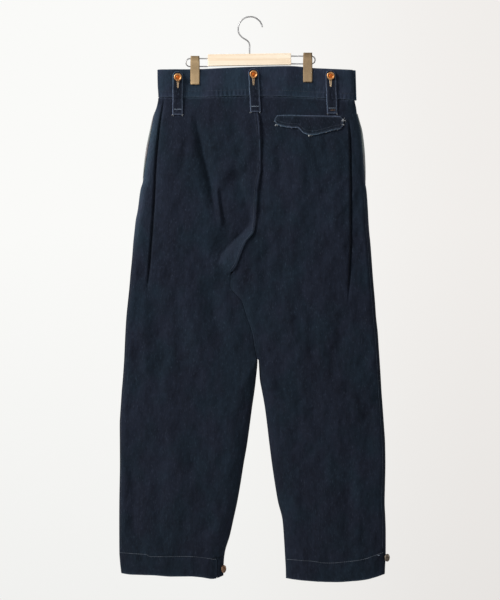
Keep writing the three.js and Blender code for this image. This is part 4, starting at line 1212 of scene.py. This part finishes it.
def tuft(place, normal, toward, count, length, spread=2.5):
    for _ in range(count):
        start = place + np.array([yarn_random.uniform(-spread, spread), 0, yarn_random.uniform(-1, 1)])
        way = np.asarray(toward, float) + yarn_random.normal(0, 0.45, 3) * (1, 0.3, 1)
        way /= np.linalg.norm(way)
        bend = yarn_random.normal(0, 0.5, 3) * (1, 0.4, 1)
        reach = length * yarn_random.uniform(0.5, 1.2)
        t = np.linspace(0, 1, 7)[:, None]
        line = start + normal * 0.3 + way * reach * t + bend * reach * 0.5 * t**2
        fray.add(*tube_mesh(line, 0.2 * (1 - 0.5 * t[:, 0]), 4))


foot_points, foot_normals = flap.across_line(0.4, True, (0.02, 0.98), 120)
for place, normal in zip(foot_points[::6], foot_normals[::6]):
    tuft(place, normal, (0.1, 0, -1), 2, 1.1 * yarn_random.uniform(0.4, 1.2), 1.2)
# Tufts at the flap's corners: place in x and z, direction, count and length
FLAP_TUFTS = (
    (53, -214, (-0.5, 0, -1), 9, 3.2),
    (118, -235, (0.1, 0, -1), 10, 3.4),
    (184, -207, (1, 0, 0.15), 12, 6.0),
    (184, -214, (0.7, 0, -0.7), 8, 2.6),
)
for x, z, toward, count, length in FLAP_TUFTS:
    y = float(np.max(level(-1, x, z))) + TRIM_WALL + 0.9
    tuft(np.array([x, -y, z]), np.array([0, -1.0, 0]), toward, count, length)
for name, piece in loops.items():
    foot = piece.top[-1]
    for column in (2, -3):
        toward = (0.1 * np.sign(column - LOOP_MIDDLE), 0, -1)
        tuft(foot[column], piece.normal[-2, column], toward, 5, 2.4, 1.4)

# Thread pieces
thread_pieces = [
    hem_thread.make("hem_stitches", HEM_THREAD),
    seam_thread.make("seam_stitches", NAVY_THREAD),
    bar_tacks.make("bar_tacks", PALE_THREAD),
    brown_tack.make("loop_bar_line", BROWN_THREAD),
    hole_thread.make("buttonhole_stitches", TAN_THREAD),
    fray.make("frayed_edges", FRAY),
]


# Hanger: wires, the hook's bend in degrees, the bar and the clips' sheet
WIRE = 3
GUIDE_WIRE = 2.5
HOOK_RADIUS = 24.3
HOOK_BEND = range(8, 206, 14)
BAR_TOP = -72.6
CLIP_SHEET = 1.4
CLIP_BEND = -112


def wire(name, path, thick, count, closed_ends=3):
    line = through_points(path, count)
    radius = np.full(len(line), thick / 2)
    for i, share in enumerate((0.55, 0.85, 0.97)[:closed_ends]):
        radius[i] = thick / 2 * share
    points, faces = tube_mesh(line, radius, 20)
    return make_object(name, points, faces, STEEL)


hook_middle = np.array([0.6, 0, WIRE / 2 - HOOK_RADIUS])
around = [math.radians(degrees) for degrees in HOOK_BEND]
hook_path = [hook_middle + HOOK_RADIUS * np.array([math.cos(a), 0, math.sin(a)]) for a in around]
HOOK_NECK = ((-15, -40), (-5, -46.5), (-1.2, -53), (-1, -62), (-1, BAR_TOP + GAP))
hook_path += [np.array([x, 0, z]) for x, z in HOOK_NECK]
hook = wire("hook_wire", hook_path, WIRE, 220)

CLIPS = {
    "left": {"x": CLIP_X[0], "top": -77, "foot": -134, "wires": (-82, -97.6), "end": -129, "start": -84,
             "look": BRASS_LEFT},
    "right": {"x": CLIP_X[1], "top": -70.5, "foot": -129.2, "wires": (-77, -92.4), "end": 131, "start": 82,
              "look": SHADED_BRASS_RIGHT},
}


def guide_wire(side, clip):
    outward = math.copysign(1, clip["end"])
    bend = (clip["wires"][0] - clip["wires"][1]) / 2
    middle = sum(clip["wires"]) / 2
    turn = clip["end"] - outward * (bend + GUIDE_WIRE / 2)
    start = clip["start"] + outward * GAP
    path = [(start, 0, clip["wires"][0]), (mix(start, turn, 0.5), 0, clip["wires"][0])]
    for degrees in np.arange(90, -91, -22.5):
        angle = math.radians(degrees)
        path.append((turn + outward * bend * math.cos(angle), 0, middle + bend * math.sin(angle)))
    path += [(mix(start, turn, 0.5), 0, clip["wires"][1]), (start, 0, clip["wires"][1])]
    return wire(f"guide_wire_{side}", path, GUIDE_WIRE, 150, 0)


def rounded_path(corners, radius, steps=6):
    """A path of corners with each inner one rounded."""
    p = np.asarray(corners, float)
    made = [p[0]]
    for a, b, c in zip(p, p[1:], p[2:]):
        before, after = a - b, c - b
        cut = min(radius, np.linalg.norm(before) * 0.45, np.linalg.norm(after) * 0.45)
        start, end = b + before / np.linalg.norm(before) * cut, b + after / np.linalg.norm(after) * cut
        for t in np.linspace(0, 1, steps):
            made.append((1 - t) ** 2 * start + 2 * t * (1 - t) * b + t * t * end)
    made.append(p[-1])
    return np.array(made)


def clip_jaw(side, clip, face):
    """A bent sheet with eased side edges, as seen from the side."""
    middle = sum(clip["wires"]) / 2
    radius = (clip["wires"][0] - clip["wires"][1]) / 2 - GUIDE_WIRE / 2 - GAP
    corners = [(radius + GAP, clip["top"]), (radius + GAP, middle - 5), (PINCHED + GAP * 1.5, CLIP_BEND),
               (PINCHED + GAP * 1.5, clip["foot"] + 4), (PINCHED + 2.2, clip["foot"])]
    inside = rounded_path([(out + CLIP_SHEET / 2, z) for out, z in corners], 4)
    step = np.gradient(inside, axis=0)
    step /= np.linalg.norm(step, axis=1, keepdims=True)
    normal = np.stack([-step[:, 1], step[:, 0]], 1)
    normal *= np.sign(normal[0, 0])
    across = np.linspace(-1, 1, 15)
    run = run_along(inside)
    taper = 1 - 0.06 * smooth((6 - run) / 6) - 0.05 * smooth((run - run[-1] + 5) / 5)
    width = CLIP_WIDTH / 2 * taper
    x = clip["x"] + across[None, :] * width[:, None]
    outer_path = inside + normal * CLIP_SHEET / 2
    y, z = face * outer_path[:, :1] + 0 * x, outer_path[:, 1:] + 0 * x
    outer = np.stack([x, y, z], 2)
    name = f"clip_plate_{'back' if face < 0 else 'front'}_{side}"
    return Cloth(name, outer, CLIP_SHEET, face, clip["look"], edge=0.6)


clip_pieces = {}
for side, clip in CLIPS.items():
    clip_pieces[side] = (guide_wire(side, clip), clip_jaw(side, clip, -1), clip_jaw(side, clip, 1))


def paint(node, material):
    """Gives a solid that stays in sight its finish."""
    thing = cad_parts[node]
    for slot in thing.material_slots:
        slot.link = "OBJECT"
        slot.material = material


paint("hanger_bar", WOOD)
paint("clip_barrel_left", BRASS_LEFT)
paint("clip_barrel_right", SHADED_BRASS_RIGHT)

# What each piece stands for, as a table of piece, solid and slot: the solids are hidden
for name, piece in (("back_left", back_left), ("back_right", back_right),
                    ("front_left", front_left), ("front_right", front_right)):
    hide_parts(*(f"{name}_{part}" for part in ("seat", "leg", "hem")))
STANDS_FOR = (
    (vent.thing, "hem_vent_strip_left", "denim"),
    (band_back.thing, "waistband_back", "denim"),
    (band_front_left.thing, "waistband_front_left", "denim"),
    (band_front_right.thing, "waistband_front_right", "denim"),
    (flap.thing, "pocket_flap", "denim"),
    (fly.thing, "fly_placket", "denim"),
    *((piece.thing, f"side_pocket_edge_{half}", "denim") for half, piece in pocket_edges.items()),
    (hook, "hanger_hook", "wire"),
    *((piece.thing, name, "denim") for name, piece in loops.items()),
    *((clip_pieces[side][0], f"clip_wire_{side}", "wire") for side in CLIPS),
    *((clip_pieces[side][jaw].thing, f"clip_jaw_{facing}_{side}", "clips")
      for jaw, facing in ((1, "back"), (2, "front")) for side in CLIPS),
)
for thing, node, slot in STANDS_FOR:
    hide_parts(node)
for name, (ring, dish) in buttons.items():
    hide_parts(name)

# Stage, lights and camera
scene = bpy.context.scene
scene.view_settings.view_transform = "Standard"
FLOOR_RADIUS = 1.3
FLOOR_HEIGHT = -1.45
floor_mesh = bpy.data.meshes.new("floor")
ring = [(FLOOR_RADIUS * math.cos(a), FLOOR_RADIUS * math.sin(a), FLOOR_HEIGHT)
        for a in np.linspace(0, 2 * math.pi, 65)[:-1]]
floor_mesh.from_pydata(ring, [], [list(range(64))])
floor_mesh.materials.append(new_look("pale_floor").set(base=rgb(236, 235, 233), rough=0.9))
floor = bpy.data.objects.new("floor", floor_mesh)
scene.collection.objects.link(floor)

# A plain wall for the camera with painted light on it, paler at the upper left and darker towards the foot,
# and an even light for the rest
WALL_LEFT = (-0.02, 0.075)
WALL_FOOT = (-0.095, 0.02)
world = bpy.data.worlds.new("room")
scene.world = world
room = Look(world, "World", "MixShader")
across = room.fit(room.part("Generated", "X"), *WALL_LEFT, kind="SMOOTHSTEP")
tone = room.fit(room.part("Generated", "Z"), *WALL_FOOT, 0.91, 1.0)
wall = {"Color": room.blend(across, rgb(250, 250, 248), rgb(240, 237, 234)), "Strength": tone}
room.feed(room.shader.inputs[0], room.node("LightPath", {}, "Is Camera Ray"))
room.feed(room.shader.inputs[1], room.node("Background", {"Color": (1, 0.99, 0.97), "Strength": 0.36}, 0))
room.feed(room.shader.inputs[2], room.node("Background", wall, 0))


def area_light(name, where, toward, size, power, tint):
    data = bpy.data.lights.new(name, "AREA")
    data.shape = "DISK"
    data.size, data.energy, data.color = size, power, tint
    lamp = bpy.data.objects.new(name, data)
    lamp.location = where
    lamp.rotation_euler = (Vector(toward) - Vector(where)).to_track_quat("-Z", "Y").to_euler()
    scene.collection.objects.link(lamp)


# Lamps: place, the place they face, width in metres, power in watts and tint
area_light("window", (-2.5, -1.7, 1.2), (0, 0, -0.5), 1.2, 125, (1, 0.985, 0.96))
area_light("room_front", (0.6, -3.2, 0.6), (0, 0, -0.6), 1.8, 12, (1, 0.99, 0.98))
area_light("room_back", (0.6, 3.0, 0.8), (0, 0, -0.5), 2.2, 60, (1, 0.99, 0.98))

# The camera: lens and sensor width in millimetres, and its place, level with the object's middle
CAMERA_LENS = 211
CAMERA_WIDTH = 36
CAMERA_PLACE = (0, -7.008, -0.563)
camera_data = bpy.data.cameras.new("photo_camera")
camera_data.lens = CAMERA_LENS
camera_data.sensor_width = CAMERA_WIDTH
camera = bpy.data.objects.new("photo_camera", camera_data)
camera.location = CAMERA_PLACE
camera.rotation_euler = (math.pi / 2, 0, 0)
scene.collection.objects.link(camera)
scene.camera = camera
